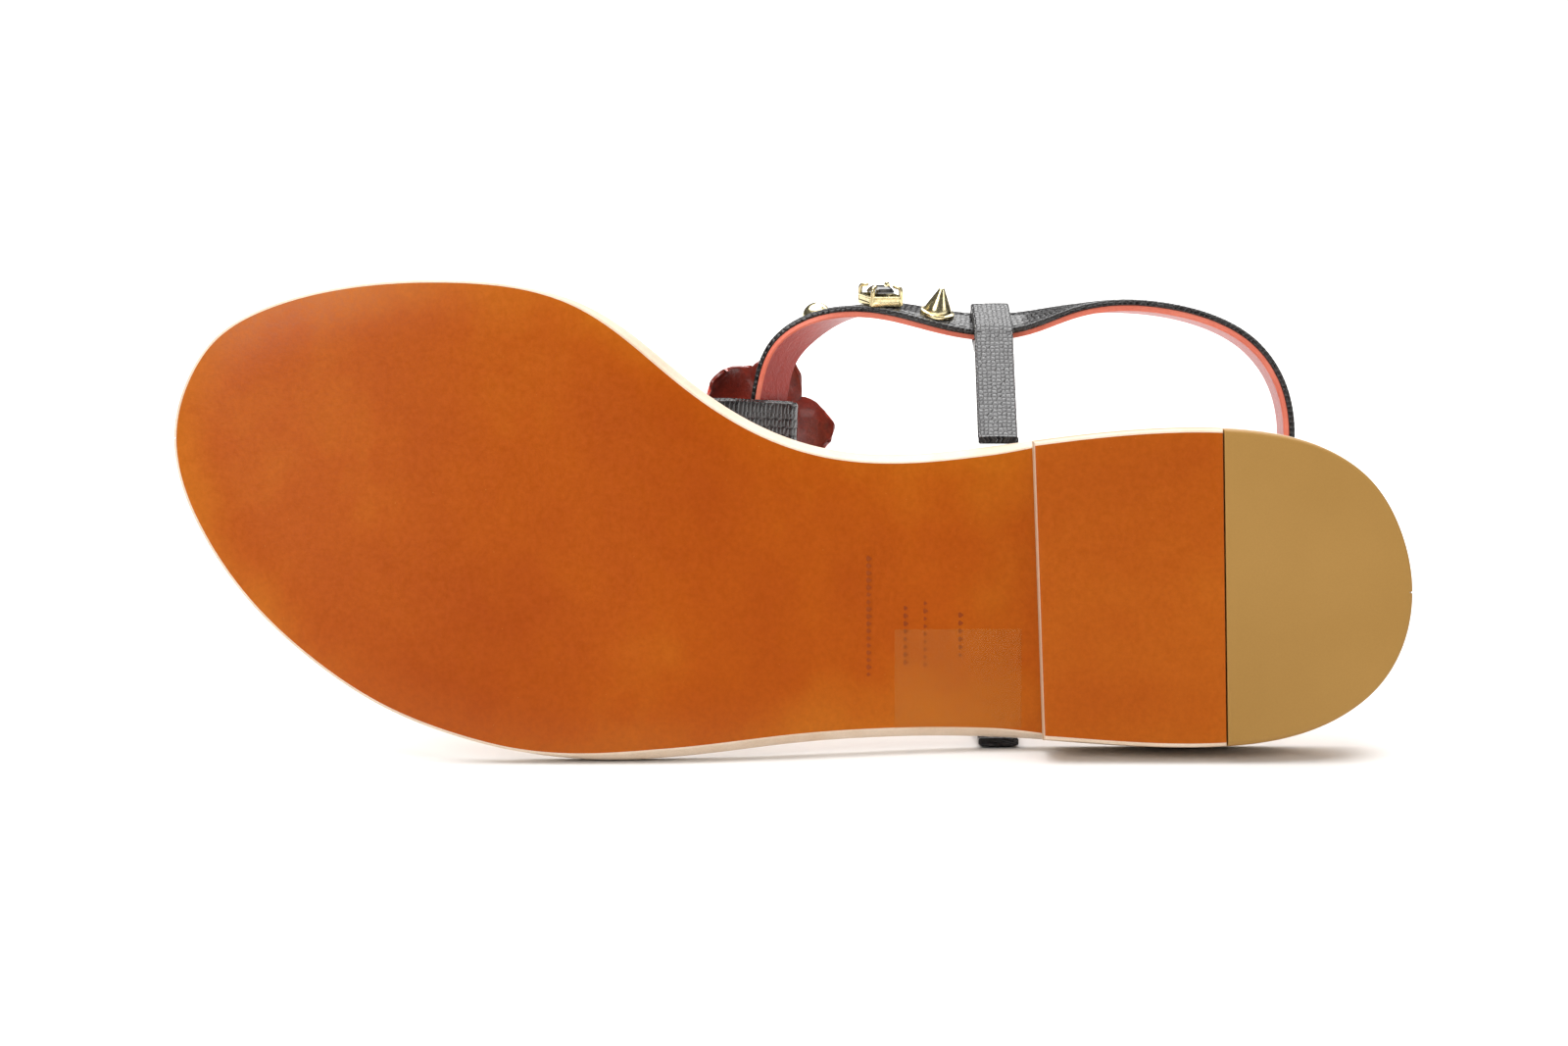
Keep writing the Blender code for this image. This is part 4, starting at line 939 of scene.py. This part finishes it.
def makeInstepStrap():
    crossing = loop.at(0)
    thick, gap = instep["thickness"], strap["wrapGap"]
    near = strapThickness / 2 + gap + thick / 2
    past = strap["strapWidth"] / 2 + gap + thick / 2
    before = -(strap["strapWidth"] / 2 + gap)
    tail = before - instep["foldTail"]
    wrap = roundedPath(
        [
            crossing.point(wide=tail, out=-near),
            crossing.point(wide=past, out=-near),
            crossing.point(wide=past, out=near),
            crossing.point(wide=before - thick / 2, out=near),
            crossing.point(wide=tail, out=-near + thick + strap["seatGap"]),
        ],
        near * 0.9, pieces=10,
    )
    x = instep["postFromToe"]
    foot = np.array([x, -instep["postMedial"], float(insoleTop(x)) - 0.35])
    top = np.array([x, -instep["postMedial"], float(insoleTop(x)) + instep["postRise"]])
    pullUp = top + unit((0.15, 0, 1)) * instep["postPull"]
    pullBack = wrap[0] - crossing.wide * instep["instepPull"]
    rise = [foot, foot * 0.66 + top * 0.34, foot * 0.33 + top * 0.67]
    for t in np.linspace(0, 1, 41)[:-1]:
        s = 1 - t
        rise.append(top * s**3 + pullUp * 3 * t * s**2 + pullBack * 3 * t**2 * s + wrap[0] * t**3)
    riseLength = lengthsOf(rise)[-1]
    path = evenPath(rise + list(wrap), 1.1)
    run = lengthsOf(path)
    turn = smooth(run, 2.0, riseLength)
    places = placesAlong(path, lambda i: np.array([0, -1, 0]) * (1 - turn[i]) + crossing.along * turn[i])
    grown = smooth(run, instep["postRise"], instep["postRise"] + 2 * instep["width"])
    widths = instep["postWidth"] + (instep["width"] - instep["postWidth"]) * grown
    depths = instep["postThickness"] + (thick - instep["postThickness"]) * grown
    outer = [
        bandSection(w, 0.02, d / 2, 0.12, 0.12 * g, 0.2 * d, 0.15) for w, d, g in zip(widths, depths, grown)
    ]
    lining = [
        bandSection(w - 0.5 * g, -d / 2, -0.02, 0, 0, 0.12, 0.2 * d, 5)[::-1]
        for w, d, g in zip(widths, depths, grown)
    ]
    points, faces, uvs = sweep(places, outer)
    addPiece("instepStrapOuter", points, faces, [blackLizard], ["instep_strap"], uvs=uvs)
    points, faces, uvs = sweep(places, lining)
    addPiece("instepStrapLining", points, faces, [blackLizard], uvs=uvs)
    rows = []
    first = int(np.searchsorted(run, instep["postRise"] + 2.2 * instep["width"]))
    last = int(np.searchsorted(run, riseLength - 1))
    for sign in (-1, 1):
        rows.append([
            places[i].point(wide=sign * (widths[i] / 2 - strap["stitchIn"]), out=depths[i] / 2 - 0.02)
            for i in range(first, last)
        ])
    addStitches("instepStitches", rows, "strap")


def makeSideTab(side):
    x = sole["length"] - tab["fromHeel"]
    hold = loop.at(loop.distanceAt(side, x))
    edge = outline.edge(side, np.array([x]), np.zeros(1))[0, 1]
    thick, gap = tab["thickness"], strap["wrapGap"]
    near = strapThickness / 2 + gap + thick / 2
    past = strap["strapWidth"] / 2 + gap + thick / 2
    before = -(strap["strapWidth"] / 2 + gap)
    outside = edge + side * (strap["seatGap"] + thick / 2)
    foot = np.array([x, outside, float(insoleLow(x)) + 0.1])
    corners = [
        foot,
        foot + np.array([0, 0, 4.0]),
        hold.point(wide=before - thick * 0.7, out=near),
        hold.point(wide=past, out=near),
        hold.point(wide=past, out=-near),
        hold.point(wide=before - thick * 0.3, out=-near),
    ]
    rising = unit(corners[0] - corners[2])
    inner = corners[2] + rising * thick * 1.3 - hold.out * (thick + strap["seatGap"])
    corners += [inner, inner + rising * tab["tail"]]
    path = evenPath(roundedPath(corners, thick * 1.25, pieces=8), 0.8)
    run = lengthsOf(path)
    turn = smooth(path[:, 2], foot[2] + tab["width"] / 2, corners[2][2])
    late = run > run[-1] * 0.4
    turn[late] = np.maximum(turn[late], smooth(path[late][:, 2], foot[2] + 8, corners[2][2]))
    level = np.array([-side, 0.0, 0.0])
    places = placesAlong(path, lambda i: level * (1 - turn[i]) + hold.along * turn[i])
    band = bandSection(tab["width"], -thick / 2, thick / 2, 0.10, 0, 0.45, 0.3)
    points, faces, uvs = sweep(places, [band] * len(places))
    name = "Medial" if side < 0 else "Lateral"
    addPiece("sideTab" + name, points, faces, [blackLizard],
             ["side_tab_medial" if side < 0 else "side_tab_lateral"], uvs=uvs)
    crossRow = int(np.searchsorted(run, np.linalg.norm(corners[2] - corners[0]) - 1.6))
    half = tab["width"] / 2 - 1.1
    rows = [[places[crossRow].point(wide=w, out=thick / 2 + 0.04) for w in np.linspace(-half, half, 12)]]
    addStitches("sideTabStitches" + name, rows, "tab")


def makeSideTabs():
    for side in (-1, 1):
        makeSideTab(side)


def makeBuckle():
    bar = loop.at(hinge)
    rearAt = loop.length + hinge - buckle["length"]
    rear = loop.at(rearAt)
    wire, prong, gap = buckle["wire"], buckle["prong"], strap["seatGap"]
    rearOut = tipRaise(rearAt) + strapThickness / 2 + gap + wire
    half = strap["strapWidth"] / 2 + 2 * gap + wire
    corners = [bar.point(wide=half), bar.point(wide=-half),
               rear.point(wide=-half, out=rearOut), rear.point(wide=half, out=rearOut)]
    makeTube("buckleFrame", evenPath(roundedPath(corners, 1.6 * wire, True), 0.5), wire, paleBrass,
             ["buckle_frame"], closed=True, sides=14)
    above = strapThickness * 1.5 + 2 * gap + prong
    overRear = rearOut + wire + gap + prong
    path = roundedPath(
        [
            bar.point(along=-prong * 0.6, out=wire + gap + prong / 2),
            bar.point(along=-prong * 1.1, out=above + gap / 3),
            rear.point(out=overRear),
            rear.point(along=-2 * wire, out=overRear - prong / 2),
        ],
        1.4 * prong,
    )
    makeTube("buckleProng", path, prong, paleBrass, ["buckle_prong"], sides=12,
             taper=lambda t: 1.0 - 0.25 * smooth(t, 0.5, 1.0))


def makeKeeper():
    hold = loop.at(hinge + buckle["keeperFrom"])
    thick, gap = buckle["keeperThickness"], strap["wrapGap"]
    low = -strapThickness / 2 - gap - thick / 2
    high = strapThickness * 1.5 + strap["seatGap"] + gap + thick / 2
    half = strap["strapWidth"] / 2 + gap + thick / 2
    corners = [hold.point(wide=-half, out=low), hold.point(wide=half, out=low),
               hold.point(wide=half, out=high), hold.point(wide=-half, out=high)]
    path = roundedPath(corners, thick, True, 8)
    places = []
    for i, point in enumerate(path):
        along = unit(path[(i + 1) % len(path)] - path[i - 1])
        places.append(Place(point, along, hold.along, np.cross(hold.along, along)))
    band = bandSection(buckle["keeperWidth"], -thick / 2, thick / 2, 0.08, 0, 0.35, 0.25, 7)
    points, faces, uvs = sweep(places, [band] * len(places), False, True)
    addPiece("strapKeeper", points, faces, [blackLizard], ["strap_keeper"], uvs=uvs)


def newGroup(name, inputs):
    group = bpy.data.node_groups.new(name, "GeometryNodeTree")
    group.interface.new_socket("Geometry", in_out="INPUT", socket_type="NodeSocketGeometry")
    group.interface.new_socket("Geometry", in_out="OUTPUT", socket_type="NodeSocketGeometry")
    for label, kind in inputs:
        group.interface.new_socket(label, in_out="INPUT", socket_type=kind)
    return group, group.nodes.new("NodeGroupInput"), group.nodes.new("NodeGroupOutput")


def rowPoints(group, given):
    curve = addNode(group, "GeometryNodeMeshToCurve", {0: given.outputs["Geometry"]})
    return addNode(
        group, "GeometryNodeCurveToPoints", {"Curve": curve.outputs[0], "Length": given.outputs["Spacing"]},
        mode="LENGTH",
    )


def sized(group, shape, sizes):
    size = addNode(group, "ShaderNodeCombineXYZ", dict(enumerate(sizes)))
    return addNode(group, "GeometryNodeTransform", {"Geometry": shape.outputs[0], "Scale": size.outputs[0]})


def randomSize(group, least, most, seed):
    varied = addNode(group, "FunctionNodeRandomValue", data_type="FLOAT")
    for key, value in (("Min", least), ("Max", most), ("Seed", seed)):
        socket = next(s for s in varied.inputs if s.name == key and s.enabled)
        if isinstance(value, bpy.types.NodeSocket):
            group.links.new(value, socket)
        else:
            socket.default_value = value
    return next(s for s in varied.outputs if s.enabled)


def fillRows(group, made, points, shape, turned, scale, material, soft):
    # the shape on every point, as one mesh
    placed = addNode(group, "GeometryNodeInstanceOnPoints", {
        "Points": points.outputs["Points"], "Instance": shape.outputs[0],
        "Rotation": turned.outputs[0], "Scale": scale,
    })
    last = addNode(group, "GeometryNodeRealizeInstances", {0: placed.outputs[0]})
    if soft:
        last = addNode(group, "GeometryNodeSetShadeSmooth", {0: last.outputs[0]})
    last = addNode(group, "GeometryNodeSetMaterial", {0: last.outputs[0], "Material": material})
    group.links.new(last.outputs[0], made.inputs[0])
    return group


def stitchRows():
    # a thread stitch at even spacing along each line, a little uneven in size
    group, given, made = newGroup("stitchRows", (
        ("Spacing", "NodeSocketFloat"), ("Length", "NodeSocketFloat"), ("Thickness", "NodeSocketFloat"),
        ("Uneven", "NodeSocketFloat"), ("Seed", "NodeSocketInt"), ("Thread", "NodeSocketMaterial"),
    ))
    value = given.outputs
    points = rowPoints(group, given)
    turned = addNode(group, "FunctionNodeAlignRotationToVector", {"Vector": points.outputs["Tangent"]}, axis="X")
    capsule = addNode(group, "GeometryNodeMeshUVSphere", {"Segments": 6, "Rings": 5, "Radius": 0.5})
    shaped = sized(group, capsule, (value["Length"], value["Thickness"], value["Thickness"]))
    least = maths(group, "SUBTRACT", 1.0, value["Uneven"])
    most = maths(group, "ADD", 1.0, value["Uneven"])
    scale = randomSize(group, least, most, value["Seed"])
    return fillRows(group, made, points, shaped, turned, scale, value["Thread"], True)


def stampRows():
    # a flat lozenge at even spacing along each line, turned as the line runs
    group, given, made = newGroup("stampRows", (
        ("Spacing", "NodeSocketFloat"), ("Width", "NodeSocketFloat"), ("Height", "NodeSocketFloat"),
        ("Depth", "NodeSocketFloat"), ("Face", "NodeSocketVector"), ("Seed", "NodeSocketInt"),
        ("Foil", "NodeSocketMaterial"),
    ))
    value = given.outputs
    points = rowPoints(group, given)
    first = addNode(group, "FunctionNodeAlignRotationToVector", {"Vector": value["Face"]}, axis="Z")
    turned = addNode(group, "FunctionNodeAlignRotationToVector", {
        "Rotation": first.outputs[0], "Vector": points.outputs["Tangent"],
    }, axis="X", pivot_axis="Z")
    lozenge = addNode(group, "GeometryNodeMeshCylinder", {"Vertices": 4, "Radius": 0.5, "Depth": 1.0})
    shaped = sized(group, lozenge, (value["Width"], value["Height"], value["Depth"]))
    scale = randomSize(group, 0.75, 1.1, value["Seed"])
    return fillRows(group, made, points, shaped, turned, scale, value["Foil"], False)


groups = {"stitches": stitchRows(), "stamps": stampRows()}


def addRows(name, group, rows, values):
    # the lines become a mesh of edges, the node group fills them, and the result is kept as a mesh
    points, edges = [], []
    for row in rows:
        start = len(points)
        points += [tuple(p) for p in row]
        edges += [(start + i, start + i + 1) for i in range(len(row) - 1)]
    lines = bpy.data.meshes.new(name + "Lines")
    lines.from_pydata(onFloor(points).tolist(), edges, [])
    guide = newObject(name + "Lines", lines)
    modifier = guide.modifiers.new("rows", "NODES")
    modifier.node_group = group
    for item in group.interface.items_tree:
        if item.in_out == "INPUT" and item.name in values:
            modifier[item.identifier] = values[item.name]
    bpy.context.view_layer.update()
    depsgraph = bpy.context.evaluated_depsgraph_get()
    mesh = bpy.data.meshes.new_from_object(guide.evaluated_get(depsgraph))
    mesh.name = name
    guide.modifiers.clear()
    bpy.data.objects.remove(guide)
    made = newObject(name, mesh)
    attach(made, "root")
    return made


def addStitches(name, rows, kind):
    spacing, length, thickness = stitch[kind]
    values = {
        "Spacing": spacing / 1000, "Length": length / 1000, "Thickness": thickness / 1000,
        "Uneven": stitch["uneven"], "Seed": stitch["seed"], "Thread": blackThread,
    }
    return addRows(name, groups["stitches"], rows, values)


ornament = {
    "places": {"dome": 0.413, "stone": 0.621, "spike": 0.813},
    "domeRadius": 3.4, "domeHeight": 3.0, "rim": 0.3,
    "spikeRadius": 3.8, "spikeTip": 0.8, "spikeHeight": 6.4,
    "stoneSide": 6.0, "stoneHeight": 3.0, "stoneTurn": 30, "plate": 0.8, "clawHeight": 4.6,
    "clawWire": 0.9,
}


def seatOn(place, wide=0.0, out=0.0, turn=0.0):
    # takes points standing on z into the strap's own directions
    axes = np.column_stack([place.along, place.wide, place.out])
    if np.linalg.det(axes) < 0:
        axes[:, 0] *= -1
    c, s = math.cos(math.radians(turn)), math.sin(math.radians(turn))
    axes = axes @ np.array([[c, -s, 0], [s, c, 0], [0, 0, 1]])
    centre = place.point(0, wide, out)
    return lambda points: np.asarray(points, float) @ axes.T + centre


def lathe(profile, steps=48):
    # a turned solid from its profile of radius and height, with both ends closed
    angles = np.linspace(0, 2 * math.pi, steps, endpoint=False)
    rings = [[(r * math.cos(a), r * math.sin(a), z) for a in angles] for r, z in profile]
    run = lengthsOf(np.column_stack([profile, np.zeros(len(profile))]))
    return loftOf(np.array(rings), run, np.linspace(0, 1, steps + 1))[:2]


def addOnStrap(name, points, faces, seat, materials, replaced=(), slots=None, sharp=40):
    return addPiece(name, seat(points), faces, materials, replaced, slots, sharp=sharp)


def domeShape():
    r, h, rim = ornament["domeRadius"], ornament["domeHeight"], ornament["rim"]
    rows = [(0.05, rim + h)]
    rows += [(r * 0.93 * math.sin(a), rim + h * math.cos(a)) for a in np.radians(np.arange(8, 89, 8))]
    rows += [(r * 0.93, rim + 0.05), (r * 0.99, rim), (r, rim * 0.6), (r, 0.12), (r - 0.12, 0)]
    return rows[::-1]


def spikeShape():
    r, tip, h = ornament["spikeRadius"], ornament["spikeTip"], ornament["spikeHeight"]
    rows = [(0.04, h)]
    rows += [(tip * math.sin(a), h - tip + tip * math.cos(a)) for a in np.radians((20, 40, 60, 75))]
    low = (r * 0.80, 1.35)
    for t in (0.25, 0.5, 0.75, 1.0):
        rows.append((tip * 0.98 + (low[0] - tip * 0.98) * t, h - tip * 0.75 + (low[1] - h + tip * 0.75) * t))
    rows += [(r * 0.80, 1.05), (r * 0.86, 0.95), (r * 0.97, 0.85), (r, 0.6), (r, 0.15), (r - 0.15, 0)]
    return rows[::-1]


def stoneShape():
    side, h = ornament["stoneSide"] - ornament["clawWire"], ornament["stoneHeight"]
    levels = ((0.35, 0.25, 0), (0.72, 0.20, 0.30), (1.0, 0.14, 0.53), (1.0, 0.14, 0.62),
              (0.84, 0.17, 0.86), (0.62, 0.20, 1.0))
    rings = []
    for share, corner, z in levels:
        half, cut = side * share / 2, side * share * (0.5 - corner)
        flat = ((half, cut), (cut, half), (-cut, half), (-half, cut),
                (-half, -cut), (-cut, -half), (cut, -half), (half, -cut))
        rings.append([(x, y, h * z) for x, y in flat])
    return loftOf(np.array(rings), range(len(rings)), range(9))[:2]


def makeSetting(name, place, turn, face, replaced):
    # a square gallery with a beaded rail, and a claw wire bent over the stone at each corner
    seat = seatOn(place, 0, face, turn)
    wall = ornament["clawWire"] * 0.8
    rail = ornament["plate"] + ornament["clawHeight"] * 0.3
    inside = ornament["stoneSide"] + 0.6
    outside = inside + 2 * wall

    def ring(side, z, steps=64):
        made = []
        for a in np.linspace(0, 2 * math.pi, steps, endpoint=False):
            c, s = math.cos(a), math.sin(a)
            radius = side / 2 / (abs(c) ** 8 + abs(s) ** 8) ** 0.125
            made.append((radius * c, radius * s, z))
        return made

    rows = [
        ring(inside * 0.45, 0), ring(outside - 0.2, 0), ring(outside, 0.2), ring(outside, 0.75),
        ring(outside - 0.35, 0.95), ring(outside - 0.35, rail - 0.55), ring(outside, rail - 0.35),
        ring(outside, rail - 0.1), ring(outside - 0.2, rail), ring(inside + 0.15, rail),
        ring(inside, rail - 0.15), ring(inside, 1.0), ring(inside * 0.75, 0.72), ring(inside * 0.45, 0.70),
    ]
    points, faces = loftOf(np.array(rows), range(15), range(65), False, True)[:2]
    addOnStrap(name, points, faces, seat, [paleBrass], [replaced])
    corner = inside / 2 + wall * 0.15
    for k in range(4):
        a = math.radians(45 + 90 * k)
        c, s = math.cos(a) * math.sqrt(2), math.sin(a) * math.sqrt(2)
        top = ornament["clawHeight"]
        path = roundedPath([
            (c * corner, s * corner, 0.2), (c * (corner - 0.02), s * (corner - 0.02), top - 0.55),
            (c * (corner - 1.35), s * (corner - 1.35), top - 0.35),
        ], 0.9, pieces=8)
        path = evenPath(path, 0.3)
        makeTube(f"{name}Claw{k + 1}", [seat(p) for p in path], 0.46, paleBrass, sides=10,
                 taper=lambda t: 1.0 - 0.35 * float(smooth(t, 0.93, 1.0)))


def makeOrnaments():
    face = strapThickness / 2 + strap["dome"] - 0.06
    run = loop.distanceAt(-1, sole["length"] - tab["fromHeel"])
    spots = {kind: share * run for kind, share in ornament["places"].items()}
    for side, name in ((-1, "Medial"), (1, "Lateral")):
        suffix = "_" + name.lower()
        for kind, shape in (("dome", domeShape), ("spike", spikeShape)):
            points, faces = lathe(shape())
            addOnStrap(kind + name, points, faces, seatOn(loop.at(-side * spots[kind]), 0, face),
                       [paleBrass], [kind + suffix])
        spot, turn = loop.at(-side * spots["stone"]), -side * ornament["stoneTurn"]
        makeSetting("clawSetting" + name, spot, turn, face, "claw_setting" + suffix)
        points, faces = stoneShape()
        addOnStrap("stone" + name, points, faces, seatOn(spot, 0, face + ornament["plate"] + 0.3, turn),
                   [smokyStone], ["stone" + suffix], sharp=0)


rose = {
    "shift": 6.5, "tilt": 20, "baseRadius": 6.4, "baseThickness": 1.2, "leather": 0.75,
    # each whorl: petals, first angle, foot radius, length, half width, lean at foot and at rim, rise
    "whorls": (
        (5, 20, 3.6, 14.5, 8.6, 62, 108, 1.2),
        (5, 56, 2.9, 12.0, 7.2, 42, 84, 1.6),
        (4, 10, 2.1, 10.0, 5.4, 18, 50, 1.9),
        (3, 70, 1.3, 9.2, 3.9, 4, 22, 2.0),
    ),
    "seed": 11,
}


def petalSheet(angle, foot, length, halfWidth, leanFoot, leanRim, rise, random):
    # rows from the foot to the rim, columns across, rolled back and rippled toward the rim
    rows, columns = 15, 19
    twist, ripple, phase = random.uniform(-0.10, 0.10), random.uniform(0.35, 0.75), random.uniform(0, 6.28)
    length = length * random.uniform(0.93, 1.05)
    grid = np.zeros((rows, columns, 3))
    radius, height = foot, rise
    radii, heights = [], []
    steps = np.linspace(0, 1, rows)
    for v in steps:
        radii.append(radius)
        heights.append(height)
        lean = math.radians(leanFoot + (leanRim - leanFoot) * v + 46 * max(0, v - 0.72) / 0.28)
        radius += length / (rows - 1) * math.sin(lean)
        height += length / (rows - 1) * math.cos(lean)
    for i, v in enumerate(steps):
        outlineWidth = halfWidth * (0.34 + 0.66 * math.sin(math.pi * min(1, 0.08 + v * 0.62)) ** 0.8)
        outlineWidth *= math.sqrt(max(0.0, 1 - max(0, v - 0.62) ** 2 / 0.175)) if v > 0.62 else 1
        outlineWidth = max(outlineWidth, halfWidth * 0.18)
        for j, u in enumerate(np.linspace(-1, 1, columns)):
            bendRadius = max(radii[i], halfWidth * 0.75)
            turn = u * outlineWidth / bendRadius
            r = radii[i] - (1 - math.cos(turn)) * (bendRadius - radii[i]) * 0.5
            curl = abs(u) ** 3 * (0.3 + 0.9 * v)
            wave = ripple * v**1.5 * math.sin(3.1 * u + phase)
            r -= 0.9 * curl
            a = math.radians(angle) + turn * (bendRadius / max(radii[i], bendRadius * 0.8)) + twist * v
            grid[i, j] = (r * math.cos(a), r * math.sin(a), heights[i] + wave + 1.1 * curl * (1 - 0.6 * v))
    return grid


def sheetWithBack(grid, thickness):
    # a thin closed piece: the petal's face, its back and the cut edge between them
    across = np.gradient(grid, axis=1)
    up = np.gradient(grid, axis=0)
    normal = np.cross(up, across)
    normal /= np.linalg.norm(normal, axis=2)[..., None] + 1e-9
    rows, columns = grid.shape[:2]
    front, back = grid + normal * thickness / 2, grid - normal * thickness / 2
    points = np.vstack([front.reshape(-1, 3), back.reshape(-1, 3)])
    count = rows * columns
    faces, slots = [], []
    for i in range(rows - 1):
        for j in range(columns - 1):
            quad = (i * columns + j, i * columns + j + 1, (i + 1) * columns + j + 1, (i + 1) * columns + j)
            faces += [quad, tuple(q + count for q in quad[::-1])]
            slots += [0, 1]
    border = [i * columns for i in range(rows)] + [(rows - 1) * columns + j for j in range(1, columns)]
    border += [i * columns + columns - 1 for i in range(rows - 2, -1, -1)] + list(range(columns - 2, 0, -1))
    for k, p in enumerate(border):
        q = border[(k + 1) % len(border)]
        faces.append((p, q, q + count, p + count))
        slots.append(1)
    return points, faces, slots


def makeRose():
    fold = strapThickness / 2 + strap["wrapGap"] + instep["thickness"]
    seatPlace = loop.at(0).tilted(rose["shift"], fold, rose["tilt"])
    seat = seatOn(seatPlace, 0, 0)
    r, h = rose["baseRadius"], rose["baseThickness"]
    profile = [
        (r * 0.4, 0.05), (r - 0.25, 0.05), (r, 0.3),
        (r, h - 0.3), (r - 0.25, h), (r * 0.5, h + 0.1), (0.1, h + 0.15),
    ]
    points, faces = lathe(profile)
    addOnStrap("roseBase", points, faces, seat, [blackLizard], ["rose_base"])
    random = np.random.default_rng(rose["seed"])
    number = 0
    for petals, first, foot, length, halfWidth, leanFoot, leanRim, rise in rose["whorls"]:
        for k in range(petals):
            number += 1
            angle = first + 360 / petals * k + random.uniform(-5, 5)
            grid = petalSheet(angle, foot, length, halfWidth, leanFoot, leanRim, h + rise, random)
            points, faces, slots = sheetWithBack(grid, rose["leather"])
            addOnStrap(f"rosePetal{number:02d}", points, faces, seat, [redPatent, petalBackShaded],
                       ["rose"] if number == 1 else (), slots, sharp=55)
    turns = np.linspace(0, 1, 61)
    grid = np.zeros((9, len(turns), 3))
    for j, t in enumerate(turns):
        a = 2 * math.pi * 1.7 * t
        for i, v in enumerate(np.linspace(0, 1, 9)):
            radius = 0.5 + 1.9 * t + 0.5 * v * t - 0.35 * math.sin(math.pi * v)
            grid[i, j] = (radius * math.cos(a), radius * math.sin(a), h + 0.4 + v * (9.2 - 1.6 * t))
    points, faces, slots = sheetWithBack(grid, rose["leather"])
    addOnStrap("roseBud", points, faces, seat, [redPatent, petalBackShaded], (), slots, sharp=55)


marks = {
    "pitch": 1.45, "width": 1.15, "height": 1.5, "depth": 0.10,
    # x, then the run across the sole
    "lines": ((147.0, -6.0, 18.5), (154.8, 4.5, 16.0), (159.0, 3.5, 16.5), (166.5, 6.0, 14.5)),
    "film": (152.6, 179.6, 9.0, 30.0), "filmLift": 0.12,
}


def underSole(x, y, lift):
    return (x, y, float(bottomHeight(x)) + float(rimRise(x, outline.depth([(x, y)])[0])) - lift)


def makeMarks():
    rows = []
    for x, low, high in marks["lines"]:
        rows.append([underSole(x, y, 0.0) for y in np.linspace(low, high, 14)])
    face = Vector(np.array(turnDown) @ np.array([0, 0, -1.0]))
    addRows("stampedMarks", groups["stamps"], rows, {
        "Spacing": marks["pitch"] / 1000, "Width": marks["width"] / 1000, "Height": marks["height"] / 1000,
        "Depth": marks["depth"] / 1000, "Face": face, "Seed": 3, "Foil": stampedLeather,
    })
    lowX, highX, lowY, highY = marks["film"]
    xs, ys = np.linspace(lowX, highX, 14), np.linspace(lowY, highY, 10)
    top = np.array([[underSole(x, y, marks["filmLift"]) for y in ys] for x in xs])
    points, faces, slots = sheetWithBack(top, 0.06)
    addPiece("clearFilm", points, faces, [stickerFilm])


studio = {
    # the camera's place beside the standing sandal
    "cameraAcross": (129.2, -13.5, -1050.0), "lens": 114.68, "sensor": 36.0,
    "floor": (0.86, 0.85, 0.84), "floorSize": 8.0, "sky": 0.10,
    # the even light from above: strength, spread in degrees, direction it comes from
    "overhead": (4.3, 75, (-0.15, 0.10, 1.0)),
    # size, place, energy, colour
    "boxes": (
        ("keyBox", (0.50, 0.40), (-0.60, -0.95, 0.66), 5.0, (1.0, 0.99, 0.97)),
        ("rearBox", (0.9, 0.5), (0.35, 0.75, 0.75), 6.0, (1.0, 1.0, 1.0)),
        ("sideBox", (0.5, 0.6), (1.10, -0.55, 0.55), 2.5, (1.0, 0.98, 0.96)),
    ),
}


def makeStudio():
    floorMaterial = newMaterial("floorPaper", **{
        "Roughness": 0.9, "Specular IOR Level": 0.0, "Base Color": (*studio["floor"], 1),
    })[0]
    half = studio["floorSize"] / 2
    mesh = bpy.data.meshes.new("floor")
    corners = [(-half, -half, 0), (half, -half, 0), (half, half, 0), (-half, half, 0)]
    mesh.from_pydata(corners, [], [(0, 1, 2, 3)])
    mesh.materials.append(floorMaterial)
    floor = newObject("floor", mesh)
    world = bpy.data.worlds.new("studioSky")
    bpy.context.scene.world = world
    world.use_nodes = True
    world.node_tree.nodes["Background"].inputs["Color"].default_value = (1, 1, 1, 1)
    world.node_tree.nodes["Background"].inputs["Strength"].default_value = studio["sky"]
    aim = Vector(onFloor([(130, 0, 20)])[0])
    strength, wide, above = studio["overhead"]
    data = bpy.data.lights.new("overhead", "SUN")
    data.energy, data.angle = strength, math.radians(wide)
    lamp = newObject("overhead", data)
    lamp.rotation_euler = (-Vector(above)).to_track_quat("-Z", "Y").to_euler()
    for name, size, at, energy, colour in studio["boxes"]:
        data = bpy.data.lights.new(name, "AREA")
        data.shape, data.size, data.size_y = "RECTANGLE", size[0], size[1]
        data.energy, data.color = energy, colour
        lamp = newObject(name, data)
        lamp.location = at
        lamp.rotation_euler = (aim - Vector(at)).to_track_quat("-Z", "Y").to_euler()


def makeCamera():
    data = bpy.data.cameras.new("camera")
    data.lens, data.sensor_width = studio["lens"], studio["sensor"]
    camera = newObject("camera", data)
    right, up, back = (turnDown @ Vector(v) for v in ((1, 0, 0), (0, -1, 0), (0, 0, -1)))
    place = Matrix((right, up, back)).transposed().to_4x4()
    place.translation = Vector(onFloor([studio["cameraAcross"]])[0])
    camera.matrix_world = place
    bpy.context.scene.camera = camera


stages = {
    "sole": makeSole, "heel": makeHeel, "ankle strap": makeAnkleStrap, "instep strap": makeInstepStrap,
    "side tabs": makeSideTabs, "buckle": makeBuckle, "keeper": makeKeeper, "ornaments": makeOrnaments,
    "rose": makeRose, "marks": makeMarks, "studio": makeStudio, "camera": makeCamera,
}
for stage, make in stages.items():
    print(stage)
    make()
bpy.context.scene.view_settings.view_transform = "Standard"
